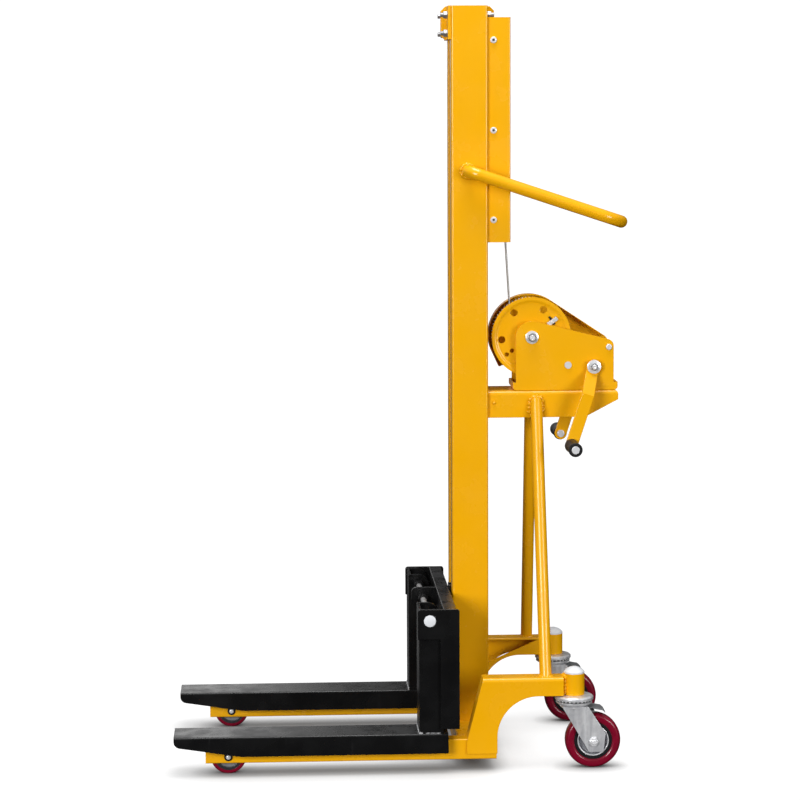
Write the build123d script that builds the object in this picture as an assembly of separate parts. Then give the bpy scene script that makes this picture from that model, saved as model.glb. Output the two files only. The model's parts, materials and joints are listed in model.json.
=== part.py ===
# Manual winch stacker: wheeled base, channel mast, roller carriage with two forks, and a geared hand winch
import os
from math import acos, asin, atan2, cos, hypot, pi, radians, sin, sqrt, tan

from build123d import *

# Driving dimensions in millimetres: X runs forward from the mast's centre, Y to the left, Z up from the floor

# Clearances shared by the fits
running_fit = 0.05
face_gap = 0.3

# Mast of two channels that open towards each other
mast_depth = 83.4
mast_width = 140.0
mast_wall = 5.0
mast_slot = 50.0
mast_bend = 5.0
mast_top = 1712.0
tie_height = 80.0
tie_gap = 20.0

# Base legs and the beam that joins them under the mast
leg_width = 40.0
leg_height = 47.0
leg_wall = 5.0
leg_bottom = 25.0
leg_bend = 4.0
leg_track = 444.0
leg_front_x = 609.0
leg_rear_x = -45.5
leg_tip_wall = 5.0

# Load wheels in the leg tips
load_wheel_radius = 40.0
load_wheel_width = 26.0
load_core_radius = 32.0
load_tread_edge = 3.0
load_rim = 6.0
load_web_inset = 6.0
load_hub_radius = 12.0
load_axle_x = 557.7
load_axle_radius = 6.0
load_head_height = 5.0
load_head_radius = 10.0
load_head_edge = 1.5
load_pocket_gap = 6.0
load_pocket_side = 2.0
load_hub_boss = 1.7

# Rear brackets, pressed channels that reach back to the caster cups
bracket_wall = 5.0
bracket_bend = 9.0
bracket_edge = 4.0
bracket_bottom = 38.0
bracket_front_x = 22.0
bracket_knee = 66.0
bracket_top = 210.0
bracket_top_x = -15.0
arm_depth = 42.0
arm_end_gap = 26.0
arm_neck = 20.0
arch_radius = 93.0
arch_x = -140.0
gusset_front_z = 113.0
gusset_top_x = -182.0

# Caster cups, stems and swivel heads
caster_x = -222.5
cup_radius = 23.3
cup_bottom = 167.0
cup_top = 216.0
cap_height = 15.0
stem_radius = 14.0
race_radius = 43.4
race_height = 10.0
race_rim = 5.5
race_slope = 3.0
track_radius = 36.0
track_height = 4.8
lower_race_height = 10.0
lower_race_radius = 41.0
lower_race_rim = 3.0
lower_race_foot = 30.0
kingpin_radius = 6.0
kingpin_head = 5.0
kingpin_head_height = 3.5

# Caster yokes, wheels and brake pedals
caster_trail = 42.0
caster_radius = 62.5
caster_width = 35.0
tread_inner = 43.0
tread_side = 4.0
tread_shoulder = 7.0
tread_crown = 9.0
tread_drop = 2.0
rim_inner = 35.5
rim_width = 30.0
rim_flare = 4.0
web_thickness = 8.0
hub_radius = 14.0
hub_flare = 3.0
yoke_wall = 3.5
yoke_half_gap = 21.0
yoke_nose_half_gap = 18.5
yoke_ridge_half_gap = 23.0
yoke_ridge_x = -19.0
yoke_ridge_half = 2.0
yoke_front = 29.0
yoke_rear = 30.0
yoke_lobe_reach = 27.0
yoke_lobe_rise = 18.0
yoke_foot_rear = 22.0
yoke_foot_front = 10.0
yoke_foot_drop = 24.0
yoke_corner = 6.0
caster_bolt_radius = 5.0
caster_bolt_tail = 5.0
caster_nut_flats = 18.0
caster_nut_height = 7.0
caster_head_radius = 9.0
caster_head_height = 5.0
caster_head_edge = 2.0
pedal_back = 27.0
pedal_pivot_z = 132.0
pedal_pin_radius = 2.5
pedal_pin_tail = 1.5
pedal_boss_radius = 4.5
pedal_root_half = 16.0
pedal_half = 24.0
pedal_tread_start = 14.5
pedal_tread_end = 35.0
pedal_tip = 41.0
pedal_rise = 8.5
pedal_fall = 4.0
pedal_tip_drop = 5.5
pedal_thickness = 3.0
shoe_start = 2.0
shoe_end = 18.0
shoe_gap = 2.8
shoe_height = 4.0

# Carriage frame in front of the mast
carriage_half_width = 275.0
end_plate = 8.0
end_rear_x = 40.0
end_front_x = 133.0
end_post_x = 82.0
end_bottom = 103.0
end_arm_bottom = 307.0
carriage_top = 375.0
end_corner = 6.0
bar_rear_x = 46.0
bar_depth = 30.0
bar_height = 40.0
bar_wall = 4.0
lower_bar_bottom = 110.0
rod_x = 106.0
rod_z = 349.0
rod_radius = 6.5
rod_edge = 1.0
rod_head_radius = 13.4
lug_thickness = 10.0
lug_corner = 12.0
lug_boss = 17.0

# Spine plates that reach through the mast slot, with their rollers
spine_thickness = 10.0
spine_inner_y = 12.0
spine_rear_x = -25.0
spine_bottom = 118.0
spine_top = 382.0
spine_corner = 12.0
roller_z_low = 165.0
roller_z_high = 335.0
roller_width = 26.0
roller_inner_y = 34.0
roller_pin_radius = 12.0
roller_collar_radius = 18.0
roller_collar = 2.5
roller_edge = 2.0
roller_rim = 8.0
roller_hub = 7.0
roller_recess = 3.0
roller_slope = 1.0
rope_pin_z = 362.0
rope_pin_radius = 6.0
rope_pin_tail = 1.5

# Forks: folded blades on hollow shanks that slide on the carriage rod
fork_width = 100.0
fork_wall = 6.0
fork_depth = 45.0
fork_top = 92.0
fork_tip_x = 679.0
fork_heel_x = 65.0
fork_tip_depth = 22.0
fork_tip_radius = 18.0
fork_taper = 150.0
fork_edge = 4.0
shank_front_x = 130.0
shank_wall = 6.0
ear_thickness = 8.0
ear_radius = 24.0
ear_neck = 10.0
bush_radius = 11.5
bush_length = 22.0

# Mast head: pulley, its bracket, the clamping studs and the rope guard
pulley_x = -25.0
pulley_drop = 38.0
pulley_pitch_radius = 31.0
pulley_radius = 38.0
pulley_width = 18.0
pulley_axle_radius = 8.0
pulley_hub = 6.0
pulley_rim = 3.0
pulley_web_inset = 3.0
pulley_lip = 2.0
axle_collar = 3.0
head_height = 75.0
head_plate = 6.5
cheek_reach = 60.0
cheek_thickness = 6.0
cheek_gap = 24.0
cheek_chamfer = 10.0
stud_radius = 5.0
stud_y = 47.0
stud_drops = (61.5, 20.5)
stud_tail = 7.0
nut_height = 9.0
nut_flats = 16.0
guard_half_width = 60.0
guard_wall = 2.0
guard_rear_x = -94.0
guard_bottom = 1179.0
guard_drop = 26.0
guard_screw_x = -55.0
guard_screw_margin = 51.0
screw_tail = 4.0
screw_head_radius = 7.5
screw_head_height = 4.0
screw_radius = 3.0
tab_thickness = 3.0
tab_half_height = 12.0
tab_reach = 26.0

# Push handle of bent tube
handle_radius = 14.0
handle_wall = 2.5
handle_x = 4.0
handle_z = 1341.0
handle_half_width = 105.0
handle_rear_x = -347.0
handle_rear_z = 1224.0
handle_root_bend = 26.0
handle_rear_bend = 52.0

# Winch platform and its two struts
platform_half_width = 58.0
platform_wall = 5.0
platform_bottom = 777.0
platform_top = 839.0
platform_rear_x = -342.0
platform_cut_x = -266.0
platform_lip = 22.0
platform_bend = 10.0
strut_radius = 13.75
strut_wall = 2.5
strut_x = -158.0
strut_top_x = -152.0
strut_top_z = 825.0
strut_bite = 8.0
strut_plug = 30.0

# Winch frame
frame_half_width = 54.0
frame_wall = 4.0
frame_front_x = -106.5
frame_rear_x = -331.7
frame_slope = 14.0
frame_corner = 16.0
tray_front_x = -99.8
tray_rear_x = -341.0
tray_lip = 18.0
tray_bend = 8.0

# Gear train
gear_module = 2.5
drum_teeth = 68
inter_pinion_teeth = 16
inter_gear_teeth = 33
crank_pinion_teeth = 14
pressure_angle = 20.0
addendum = 0.9
dedendum = 1.25
backlash = 0.3
gear_width = 10.0
pinion_over = 1.0
shaft_collar = 3.0
shaft_tail = 3.5
drum_x = -143.4
drum_z = 961.0
inter_direction = 217.85
crank_direction = 183.2

# Drum, its rope and its axle
drum_core_radius = 39.9
flange_radius = 91.5
flange_rim = 6.0
flange_step = 9.5
flange_dish = 6.0
flange_wall = 3.0
far_flange_radius = 80.0
drum_near_y = 33.0
drum_far_y = -20.0
flange_hole_radius = 8.3
flange_hole_circle = 68.0
flange_hole_count = 6
flange_hole_start = 114.5
peg_hole_radius = 5.0
peg_hole_circles = (54.5, 69.5)
peg_hole_angle = -36.0
drum_axle_radius = 10.0
drum_hub_radius = 16.0
washer_radius = 15.0
washer_thickness = 3.0
axle_nut_flats = 19.0
axle_tail = 3.0
clamp_circle = 60.0
clamp_angle = 144.0
clamp_length = 26.0
clamp_width = 9.0
clamp_crown = 2.0
clamp_rope = 26.0
clamp_bolt_radius = 4.5
clamp_bolt_height = 3.0
clamp_bolt_offset = 8.0
rope_radius = 2.5
rope_gap = 0.6
rope_seat = 0.1
winding_quarters = 17
rope_sides = 8

# Gear cover on the far side of the winch
cover_gap = 0.8
cover_wall = 1.5
cover_width = 26.0
cover_front_angle = -25.0
cover_front_tail = 38.0
cover_rear_x = -322.7
cover_rear_z = 955.0

# Crank arms and grips
shaft_radius = 8.0
crank_radius = 184.0
crank_lean = 18.1
arm_width = 28.0
arm_thickness = 8.0
arm_hub_radius = 16.0
arm_bend_low = 65.0
arm_root_gap = 4.0
arm_offset = 50.0
grip_radius = 16.0
grip_length = 80.0
grip_waist = 14.5
grip_edge = 1.5
grip_end_cap = 2.5
grip_bolt_radius = 5.0
bolt_head_radius = 9.0
bolt_head_height = 6.0
bolt_head_edge = 1.5
corner_screw_x = -320.3
corner_screw_z = 937.5
corner_screw_radius = 5.5
corner_screw_head = 1.5
corner_screw_tail = 6.0
hex_ratio = 1.7

# Values worked out from the driving dimensions
half_depth = mast_depth / 2
half_width = mast_width / 2
half_slot = mast_slot / 2
leg_y = leg_track / 2
leg_top = leg_bottom + leg_height
pulley_z = mast_top - pulley_drop
head_bottom = mast_top - head_height
stud_zs = tuple(mast_top - drop for drop in stud_drops)
guard_top = mast_top - guard_drop
guard_screw_zs = (
    guard_bottom + guard_screw_margin,
    (guard_bottom + guard_top) / 2,
    guard_top - guard_screw_margin,
)
tie_bottoms = (
    leg_top,
    platform_top - tie_height,
    guard_bottom - tie_gap - tie_height,
    head_bottom - tie_gap - tie_height,
)
bar_front_x = bar_rear_x + bar_depth
end_inner_y = carriage_half_width - end_plate
spine_outer_y = spine_inner_y + spine_thickness
roller_radius = half_depth - mast_wall - face_gap
fork_bottom = fork_top - fork_depth
fork_outer_y = leg_y + fork_width / 2
fork_inner_y = leg_y - fork_width / 2
ear_outer_y = end_inner_y - face_gap
shank_top = rod_z + ear_radius
caster_axle_x = caster_x - caster_trail
pedal_pivot_x = caster_x - pedal_back
arm_end_x = caster_x + arm_end_gap
race_bottom = cup_bottom - race_height
yoke_top = race_bottom - track_height - lower_race_height
plate_inner = frame_half_width - frame_wall
gear_y = drum_far_y - flange_wall - gear_width
second_gear_y = -plate_inner + cover_wall + pinion_over
cover_radius = flange_radius + cover_gap
rope_pitch_radius = drum_core_radius + rope_seat + rope_radius
drum_center = (drum_x, drum_z)
inter_distance = gear_module * (drum_teeth + inter_pinion_teeth) / 2
crank_distance = gear_module * (inter_gear_teeth + crank_pinion_teeth) / 2
inter_center = (
    drum_x + inter_distance * cos(radians(inter_direction)),
    drum_z + inter_distance * sin(radians(inter_direction)),
)
crank_center = (
    inter_center[0] + crank_distance * cos(radians(crank_direction)),
    inter_center[1] + crank_distance * sin(radians(crank_direction)),
)
arm_root_y = frame_half_width + arm_root_gap
arm_low_y = arm_root_y + arm_offset
arm_bend_high = arm_hub_radius + arm_thickness / 2 + face_gap
grip_start_y = arm_low_y + arm_thickness + face_gap
handle_back_x = handle_rear_x - handle_radius
origin_x = (fork_tip_x + handle_back_x) / 2


def block(x0, x1, y0, y1, z0, z1):
    """Box between two corners."""
    return Pos((x0 + x1) / 2, (y0 + y1) / 2, (z0 + z1) / 2) * Box(abs(x1 - x0), abs(y1 - y0), abs(z1 - z0))


def rod_x_way(radius, x0, x1, y, z):
    """Round bar along X."""
    return Pos((x0 + x1) / 2, y, z) * Rot(0, 90, 0) * Cylinder(radius, abs(x1 - x0))


def rod_y_way(radius, y0, y1, center):
    """Round bar along Y through a point of the side view."""
    return Pos(center[0], (y0 + y1) / 2, center[1]) * Rot(90, 0, 0) * Cylinder(radius, abs(y1 - y0))


def rod_z_way(radius, z0, z1, x, y):
    """Round bar along Z."""
    return Pos(x, y, (z0 + z1) / 2) * Cylinder(radius, abs(z1 - z0))


def nut_y_way(flats, y0, y1, center):
    """Hexagon nut along Y through a point of the side view."""
    return plate(Pos(*center) * RegularPolygon(flats / sqrt(3), 6), y0, y1)


def nut_x_way(flats, x0, x1, y, z):
    """Hexagon nut along X."""
    hexagon = Plane.YZ.offset(min(x0, x1)) * Pos(y, z) * RegularPolygon(flats / sqrt(3), 6)
    return extrude(hexagon, abs(x1 - x0))


def plate(face, y0, y1):
    """Plate whose face is drawn in the side view, X across and Z up."""
    return extrude(Plane.XZ.offset(-max(y0, y1)) * face, abs(y1 - y0), dir=(0, -1, 0))


def turned(points, center):
    """Body turned about a Y axis, from points given as radius and Y."""
    profile = make_face(Polyline(*[(r, y) for r, y in points], close=True))
    return Pos(center[0], 0, center[1]) * revolve(Plane.XY * profile, Axis.Y)


def turned_upright(points, x, y):
    """Body turned about a Z axis, from points given as radius and Z."""
    profile = make_face(Polyline(*[(r, z) for r, z in points], close=True))
    return Pos(x, y, 0) * revolve(Plane.XZ * profile, Axis.Z)


def mirrored(shape):
    """The same piece on the other side of the machine."""
    return mirror(shape, Plane.XZ)


def both_sides(shape):
    """A piece and its mirror image, as two solids."""
    return [shape, mirrored(shape)]


def union(*shapes):
    """Shapes joined into one solid."""
    total = shapes[0]
    for shape in shapes[1:]:
        total = total + shape
    return total


def edges_along(shape, axis, position, value):
    """Straight edges along an axis whose middle lies at a given coordinate."""
    return [e for e in shape.edges().filter_by(axis) if abs(getattr(e.center(), position) - value) < 0.01]


def stud_holes(part):
    """Cut the clearance holes of the clamping studs."""
    for z in stud_zs:
        part = part - rod_x_way(stud_radius + running_fit, -mast_depth, mast_depth, stud_y, z)
    return part


def mast_channel():
    """One channel of the mast, on the left."""
    outline = Polygon(
        (half_depth, half_slot),
        (half_depth, half_width),
        (-half_depth, half_width),
        (-half_depth, half_slot),
        (-half_depth + mast_wall, half_slot),
        (-half_depth + mast_wall, half_width - mast_wall),
        (half_depth - mast_wall, half_width - mast_wall),
        (half_depth - mast_wall, half_slot),
        align=None,
    )
    corners = [v for v in outline.vertices() if abs(v.Y - half_width) < 0.01]
    outline = fillet(corners, mast_bend)
    return stud_holes(extrude(Pos(0, 0, leg_top) * outline, mast_top - leg_top))


def mast_tie_plates():
    """Plates that close the rear slot of the mast, and the tabs that carry the rope guard."""
    ties = [
        block(-half_depth, -half_depth + mast_wall, -half_slot, half_slot, z, z + tie_height)
        for z in tie_bottoms
    ]
    tab_y = guard_half_width - guard_wall
    tabs = []
    for z in guard_screw_zs:
        tab = block(-half_depth - tab_reach, -half_depth, tab_y - tab_thickness, tab_y,
                    z - tab_half_height, z + tab_half_height)
        tab = tab - rod_y_way(screw_radius, 0, half_width, (guard_screw_x, z))
        tabs += both_sides(tab)
    return ties + tabs


def pulley_bracket():
    """Head bracket: a cross plate on the mast front and two cheeks that carry the pulley axle."""
    cross = block(half_depth, half_depth + head_plate, -half_width, half_width, head_bottom, mast_top)
    cross = stud_holes(mirrored(stud_holes(cross)))
    cheek_face = Polygon(
        (-cheek_reach, head_bottom),
        (cheek_reach, head_bottom),
        (cheek_reach, mast_top),
        (-cheek_reach, mast_top),
        align=None,
    )
    cheek_face = chamfer(cheek_face.vertices(), cheek_chamfer)
    cheek = plate(cheek_face, cheek_gap / 2, cheek_gap / 2 + cheek_thickness)
    cheek = cheek - rod_y_way(pulley_axle_radius, 0, half_width, (pulley_x, pulley_z))
    return union(cross, cheek, mirrored(cheek))


def bracket_bolts():
    """Four studs that clamp the head bracket, each with a nut at both ends."""
    front = half_depth + head_plate
    studs = []
    for z in stud_zs:
        reach = nut_height + stud_tail
        bar = rod_x_way(stud_radius, -half_depth - reach, front + reach, stud_y, z)
        front_nut = nut_x_way(nut_flats, front, front + nut_height, stud_y, z)
        rear_nut = nut_x_way(nut_flats, -half_depth - nut_height, -half_depth, stud_y, z)
        studs += both_sides(union(bar, front_nut, rear_nut))
    return studs


def pulley_axle():
    """Axle of the rope pulley with a head and a collar outside the cheeks."""
    outside = cheek_gap / 2 + cheek_thickness
    end = outside + axle_collar
    center = (pulley_x, pulley_z)
    collar = rod_y_way(pulley_axle_radius + axle_collar, outside, end, center)
    return union(rod_y_way(pulley_axle_radius, -end, end, center), collar, mirrored(collar))


def rope_pulley():
    """Grooved rope pulley, on its axle."""
    half = pulley_width / 2
    groove = pulley_pitch_radius - rope_radius - face_gap
    bore = pulley_axle_radius + running_fit
    hub = cheek_gap / 2 - face_gap
    hub_edge = bore + pulley_hub
    web = half - pulley_web_inset
    rim_root = groove - pulley_rim
    web_edge = rim_root - pulley_web_inset
    lip = half - pulley_lip
    return turned(
        [(bore, -hub), (hub_edge, -hub), (hub_edge, -web), (web_edge, -web), (rim_root, -half),
         (pulley_radius, -half), (pulley_radius, -lip), (groove, -rope_radius), (groove, rope_radius),
         (pulley_radius, lip), (pulley_radius, half), (rim_root, half), (web_edge, web),
         (hub_edge, web), (hub_edge, hub), (bore, hub)],
        (pulley_x, pulley_z),
    )


def rope_guard():
    """Folded sheet that covers the rope behind the mast head."""
    outer = block(guard_rear_x, -half_depth, -guard_half_width, guard_half_width, guard_bottom, guard_top)
    outer = fillet(edges_along(outer, Axis.Z, "X", guard_rear_x), 2 * guard_wall)
    inner_y = guard_half_width - guard_wall
    inner = block(guard_rear_x + guard_wall, -half_depth, -inner_y, inner_y, guard_bottom, guard_top)
    inner = fillet(edges_along(inner, Axis.Z, "X", guard_rear_x + guard_wall), guard_wall)
    guard = outer - inner
    for z in guard_screw_zs:
        guard = guard - rod_y_way(screw_radius, -half_width, half_width, (guard_screw_x, z))
    return guard


def guard_screws():
    """Round-headed screws of the rope guard."""
    screws = []
    for z in guard_screw_zs:
        center = (guard_screw_x, z)
        inside = guard_half_width - guard_wall - tab_thickness - screw_tail
        head = rod_y_way(screw_head_radius, guard_half_width, guard_half_width + screw_head_height, center)
        head = fillet(head.faces().sort_by(Axis.Y)[-1].edges(), screw_head_height / 2)
        screws += both_sides(union(head, rod_y_way(screw_radius, inside, guard_half_width, center)))
    return screws


def push_handle():
    """Bent tube from one side of the mast round to the other."""
    points = [
        (handle_x, half_width, handle_z),
        (handle_x, handle_half_width, handle_z),
        (handle_rear_x, handle_half_width, handle_rear_z),
        (handle_rear_x, -handle_half_width, handle_rear_z),
        (handle_x, -handle_half_width, handle_z),
        (handle_x, -half_width, handle_z),
    ]
    bends = [handle_root_bend, handle_rear_bend, handle_rear_bend, handle_root_bend]
    path = FilletPolyline(*points, radius=bends)
    section = Plane(path @ 0, z_dir=path % 0)
    outer = sweep(section * Circle(handle_radius), path=path)
    return outer - sweep(section * Circle(handle_radius - handle_wall), path=path)


def winch_platform():
    """Folded platform behind the mast, open underneath, with a slanting rear end."""
    outline = Polygon(
        (-half_depth, platform_bottom),
        (-half_depth, platform_top),
        (platform_rear_x, platform_top),
        (platform_rear_x, platform_top - platform_lip),
        (platform_cut_x, platform_bottom),
        align=None,
    )
    outer = plate(outline, -platform_half_width, platform_half_width)
    bends = edges_along(outer, Axis.X, "Z", platform_top) + edges_along(outer, Axis.Y, "X", platform_rear_x)
    top_bends = [e for e in bends if abs(e.center().Z - platform_top) < 0.01]
    outer = fillet(top_bends, platform_bend)
    inside = platform_half_width - platform_wall
    hollow = block(platform_rear_x + platform_wall, -half_depth, -inside, inside,
                   platform_bottom - platform_wall, platform_top - platform_wall)
    return outer - hollow


def platform_strut():
    """Tube from the rear arm up to the platform's side, on the left."""
    top_y = platform_half_width + strut_radius - strut_bite
    foot = Vector(strut_x, leg_y, bracket_top)
    head = Vector(strut_top_x, top_y, strut_top_z)
    way = (head - foot).normalized()
    start = foot - way * strut_radius
    section = Plane(start, z_dir=way)
    length = (head - start).length + strut_radius
    tube = extrude(section * Circle(strut_radius), length)
    tube = tube - extrude(section * Circle(strut_radius - strut_wall), length - strut_plug)
    round_top = Pos(strut_top_x, strut_top_z - strut_radius) * Circle(strut_radius)
    span = strut_top_z - strut_radius - bracket_top
    shaft = Pos((strut_x + strut_top_x) / 2, bracket_top + span / 2) * Rectangle(4 * strut_radius, span)
    return tube & plate(round_top + shaft, platform_half_width, 2 * leg_y)


def winch_side_face():
    """Outline of a winch side plate, round over the drum axle and sloping to the rear."""
    radius = frame_front_x - drum_x
    slope = radians(frame_slope)
    crown = (drum_x - radius * sin(slope), drum_z + radius * cos(slope))
    middle = (drum_x + radius * cos(pi / 4), drum_z + radius * sin(pi / 4))
    corner = (frame_rear_x, crown[1] - (crown[0] - frame_rear_x) * tan(slope))
    outline = make_face(
        Curve()
        + [
            Line((frame_front_x, platform_top + frame_wall), (frame_front_x, drum_z)),
            ThreePointArc((frame_front_x, drum_z), middle, crown),
            Line(crown, corner),
            Line(corner, (frame_rear_x, platform_top + frame_wall)),
            Line((frame_rear_x, platform_top + frame_wall), (frame_front_x, platform_top + frame_wall)),
        ]
    )
    corners = [v for v in outline.vertices() if abs(v.X - corner[0]) < 0.01 and abs(v.Y - corner[1]) < 0.01]
    return fillet(corners, frame_corner)


def winch_frame():
    """Folded winch frame: a tray with upturned ends and two side plates."""
    side = plate(winch_side_face(), plate_inner, frame_half_width)
    floor = platform_top + frame_wall
    tray = block(tray_rear_x, tray_front_x, -frame_half_width, frame_half_width,
                 platform_top, platform_top + tray_lip)
    tray = fillet(edges_along(tray, Axis.Y, "Z", platform_top), tray_bend)
    tray = tray - block(tray_rear_x + frame_wall, tray_front_x - frame_wall, -plate_inner, plate_inner,
                        floor, platform_top + tray_lip)
    frame = union(tray, side, mirrored(side))
    for radius, center in (
        (drum_axle_radius + running_fit, drum_center),
        (shaft_radius + running_fit, inter_center),
        (shaft_radius + running_fit, crank_center),
        (corner_screw_radius, (corner_screw_x, corner_screw_z)),
    ):
        frame = frame - rod_y_way(radius, -half_width, half_width, center)
    return frame


def cover_line():
    """Outer line of the gear cover: a straight front tail, the arc over the gear and a straight rear tail."""
    radius = cover_radius + cover_wall
    front = radians(cover_front_angle)
    start = (drum_x + radius * cos(front), drum_z + radius * sin(front))
    tail = (start[0] + cover_front_tail * sin(front), start[1] - cover_front_tail * cos(front))
    rear = (cover_rear_x, cover_rear_z)
    reach = hypot(rear[0] - drum_x, rear[1] - drum_z)
    turn = atan2(rear[1] - drum_z, rear[0] - drum_x) % (2 * pi) - acos(radius / reach)
    leave = (drum_x + radius * cos(turn), drum_z + radius * sin(turn))
    middle_angle = (front + turn) / 2
    middle = (drum_x + radius * cos(middle_angle), drum_z + radius * sin(middle_angle))
    return tail, start, middle, leave, rear


def winch_cover():
    """Sheet cover over the drum gear, a side wall with a rim, on the right side plate."""
    tail, start, middle, leave, rear = cover_line()
    rim_line = [Line(tail, start), ThreePointArc(start, middle, leave), Line(leave, rear)]
    outline = make_face(Curve() + rim_line + [Line(rear, (frame_rear_x + frame_corner, crank_center[1])),
                                              Line((frame_rear_x + frame_corner, crank_center[1]), tail)])
    wall_y = -plate_inner
    wall = plate(outline, wall_y, wall_y + cover_wall)
    inner = offset(outline, -cover_wall, kind=Kind.INTERSECTION)
    low_cut = Polygon(tail, rear, (cover_rear_x, platform_top), (tail[0], platform_top), align=None)
    rim = plate(outline - inner - low_cut, wall_y, wall_y + cover_width)
    cover = union(wall, rim)
    for radius, center in (
        (drum_axle_radius + running_fit, drum_center),
        (shaft_radius + face_gap, inter_center),
        (shaft_radius + face_gap, crank_center),
        (corner_screw_radius, (corner_screw_x, corner_screw_z)),
    ):
        cover = cover - rod_y_way(radius, -half_width, 0, center)
    return cover


def gear_face(teeth, phase, bore):
    """Spur gear outline with straight flanks inside the involute, a tooth centred on the phase."""
    pitch = gear_module * teeth / 2
    base = pitch * cos(radians(pressure_angle))
    tip = pitch + addendum * gear_module
    root = pitch - dedendum * gear_module
    low = max(root, base)
    half_pitch = pi / (2 * teeth) - backlash / (2 * pitch)

    def involute(radius):
        angle = acos(min(1.0, base / radius))
        return tan(angle) - angle

    def half_angle(radius):
        return half_pitch + involute(pitch) - involute(radius)

    points = []
    for tooth in range(teeth):
        middle = radians(phase) + 2 * pi * tooth / teeth
        flank = [(root, -half_angle(low)), (low, -half_angle(low)), (tip, -half_angle(tip))]
        if root >= base:
            flank = flank[1:]
        flank = flank + [(r, -a) for r, a in reversed(flank)]
        points += [(r * cos(middle + a), r * sin(middle + a)) for r, a in flank]
    return Polygon(*points, align=None) - Circle(bore)


def gear(teeth, phase, bore, center, y0, y1):
    """Spur gear between two Y planes."""
    return plate(Pos(*center) * gear_face(teeth, phase, bore), y0, y1)


def drum_gear():
    """Large gear on the right side of the drum."""
    return gear(drum_teeth, inter_direction, drum_hub_radius, drum_center, gear_y, gear_y + gear_width)


def intermediate_shaft():
    """Shaft with the small pinion cut on it, running in the side plates."""
    phase = inter_direction + 180.0 + 180.0 / inter_pinion_teeth
    pinion = gear(inter_pinion_teeth, phase, shaft_radius / 2, inter_center,
                  gear_y - pinion_over, gear_y + gear_width)
    end = frame_half_width + shaft_tail
    collar = rod_y_way(shaft_radius + shaft_collar, gear_y + gear_width, plate_inner - face_gap, inter_center)
    return union(pinion, rod_y_way(shaft_radius, -end, end, inter_center), collar)


def intermediate_gear():
    """Second gear, keyed to the intermediate shaft."""
    return gear(inter_gear_teeth, crank_direction, shaft_radius, inter_center,
                second_gear_y, second_gear_y + gear_width)


def crank_shaft():
    """Crank shaft with its pinion, through both side plates."""
    phase = crank_direction + 180.0 + 180.0 / crank_pinion_teeth
    pinion_end = second_gear_y + gear_width + pinion_over
    pinion = gear(crank_pinion_teeth, phase, shaft_radius / 2, crank_center, second_gear_y, pinion_end)
    end = arm_root_y + arm_thickness
    collar = rod_y_way(shaft_radius + shaft_collar, pinion_end, plate_inner - face_gap, crank_center)
    return union(pinion, rod_y_way(shaft_radius, -end, end, crank_center), collar)


def flange_holes():
    """Round holes through the left flange of the drum."""
    spots = []
    for hole in range(flange_hole_count):
        angle = radians(flange_hole_start + 360.0 * hole / flange_hole_count)
        spots.append((flange_hole_radius, flange_hole_circle, angle))
    for circle in peg_hole_circles:
        spots.append((peg_hole_radius, circle, radians(peg_hole_angle)))
    return [
        rod_y_way(radius, drum_near_y - flange_wall, frame_half_width,
                  (drum_x + circle * cos(angle), drum_z + circle * sin(angle)))
        for radius, circle, angle in spots
    ]


def winch_drum():
    """Rope drum with a dished flange on the left, a flat one on the right and a hub through both."""
    bore = drum_axle_radius + running_fit
    near = drum_near_y
    outer = near + flange_wall
    rim_in = flange_radius - flange_rim
    step_in = rim_in - flange_step
    left_end = plate_inner - face_gap
    right_end = -plate_inner + cover_wall + face_gap
    drum = turned(
        [(bore, right_end), (drum_hub_radius, right_end), (drum_hub_radius, drum_far_y - flange_wall),
         (far_flange_radius, drum_far_y - flange_wall), (far_flange_radius, drum_far_y),
         (drum_core_radius, drum_far_y), (drum_core_radius, near), (step_in, near),
         (rim_in, near + flange_dish), (flange_radius, near + flange_dish),
         (flange_radius, outer + flange_dish), (rim_in, outer + flange_dish), (step_in, outer),
         (drum_hub_radius, outer), (drum_hub_radius, left_end), (bore, left_end)],
        drum_center,
    )
    for hole in flange_holes():
        drum = drum - hole
    return drum


def drum_axle():
    """Fixed axle of the drum with a washer and a nut outside each side plate."""
    washer_end = frame_half_width + washer_thickness
    end = washer_end + nut_height
    axle = rod_y_way(drum_axle_radius, -end - axle_tail, end + axle_tail, drum_center)
    ends = union(rod_y_way(washer_radius, frame_half_width, washer_end, drum_center),
                 nut_y_way(axle_nut_flats, washer_end, end, drum_center))
    return union(axle, ends, mirrored(ends))


def rope_clamp():
    """Saddle clamp and rope end on the outer face of the left drum flange."""
    angle = radians(clamp_angle)
    center = (drum_x + clamp_circle * cos(angle), drum_z + clamp_circle * sin(angle))
    seat = drum_near_y + flange_wall
    turn = Pos(center[0], 0, center[1]) * Rot(0, -clamp_angle, 0)
    rope = turn * (Pos(0, seat + rope_radius, 0) * Cylinder(rope_radius, clamp_rope))
    height = 2 * rope_radius + clamp_crown
    saddle = Pos(0, seat + height / 2, 0) * Box(clamp_length, height, clamp_width)
    groove = Pos(0, seat + rope_radius, 0) * Cylinder(rope_radius, clamp_rope)
    groove = groove + Pos(0, seat + rope_radius / 2, 0) * Box(2 * rope_radius, rope_radius, clamp_rope)
    saddle = turn * (saddle - groove)
    bolt = Rot(90, 0, 0) * Cylinder(clamp_bolt_radius, clamp_bolt_height)
    bolt_y = seat + height + clamp_bolt_height / 2
    bolts = [turn * (Pos(side * clamp_bolt_offset, bolt_y, 0) * bolt) for side in (-1, 1)]
    return [union(saddle, *bolts), rope]


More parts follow.
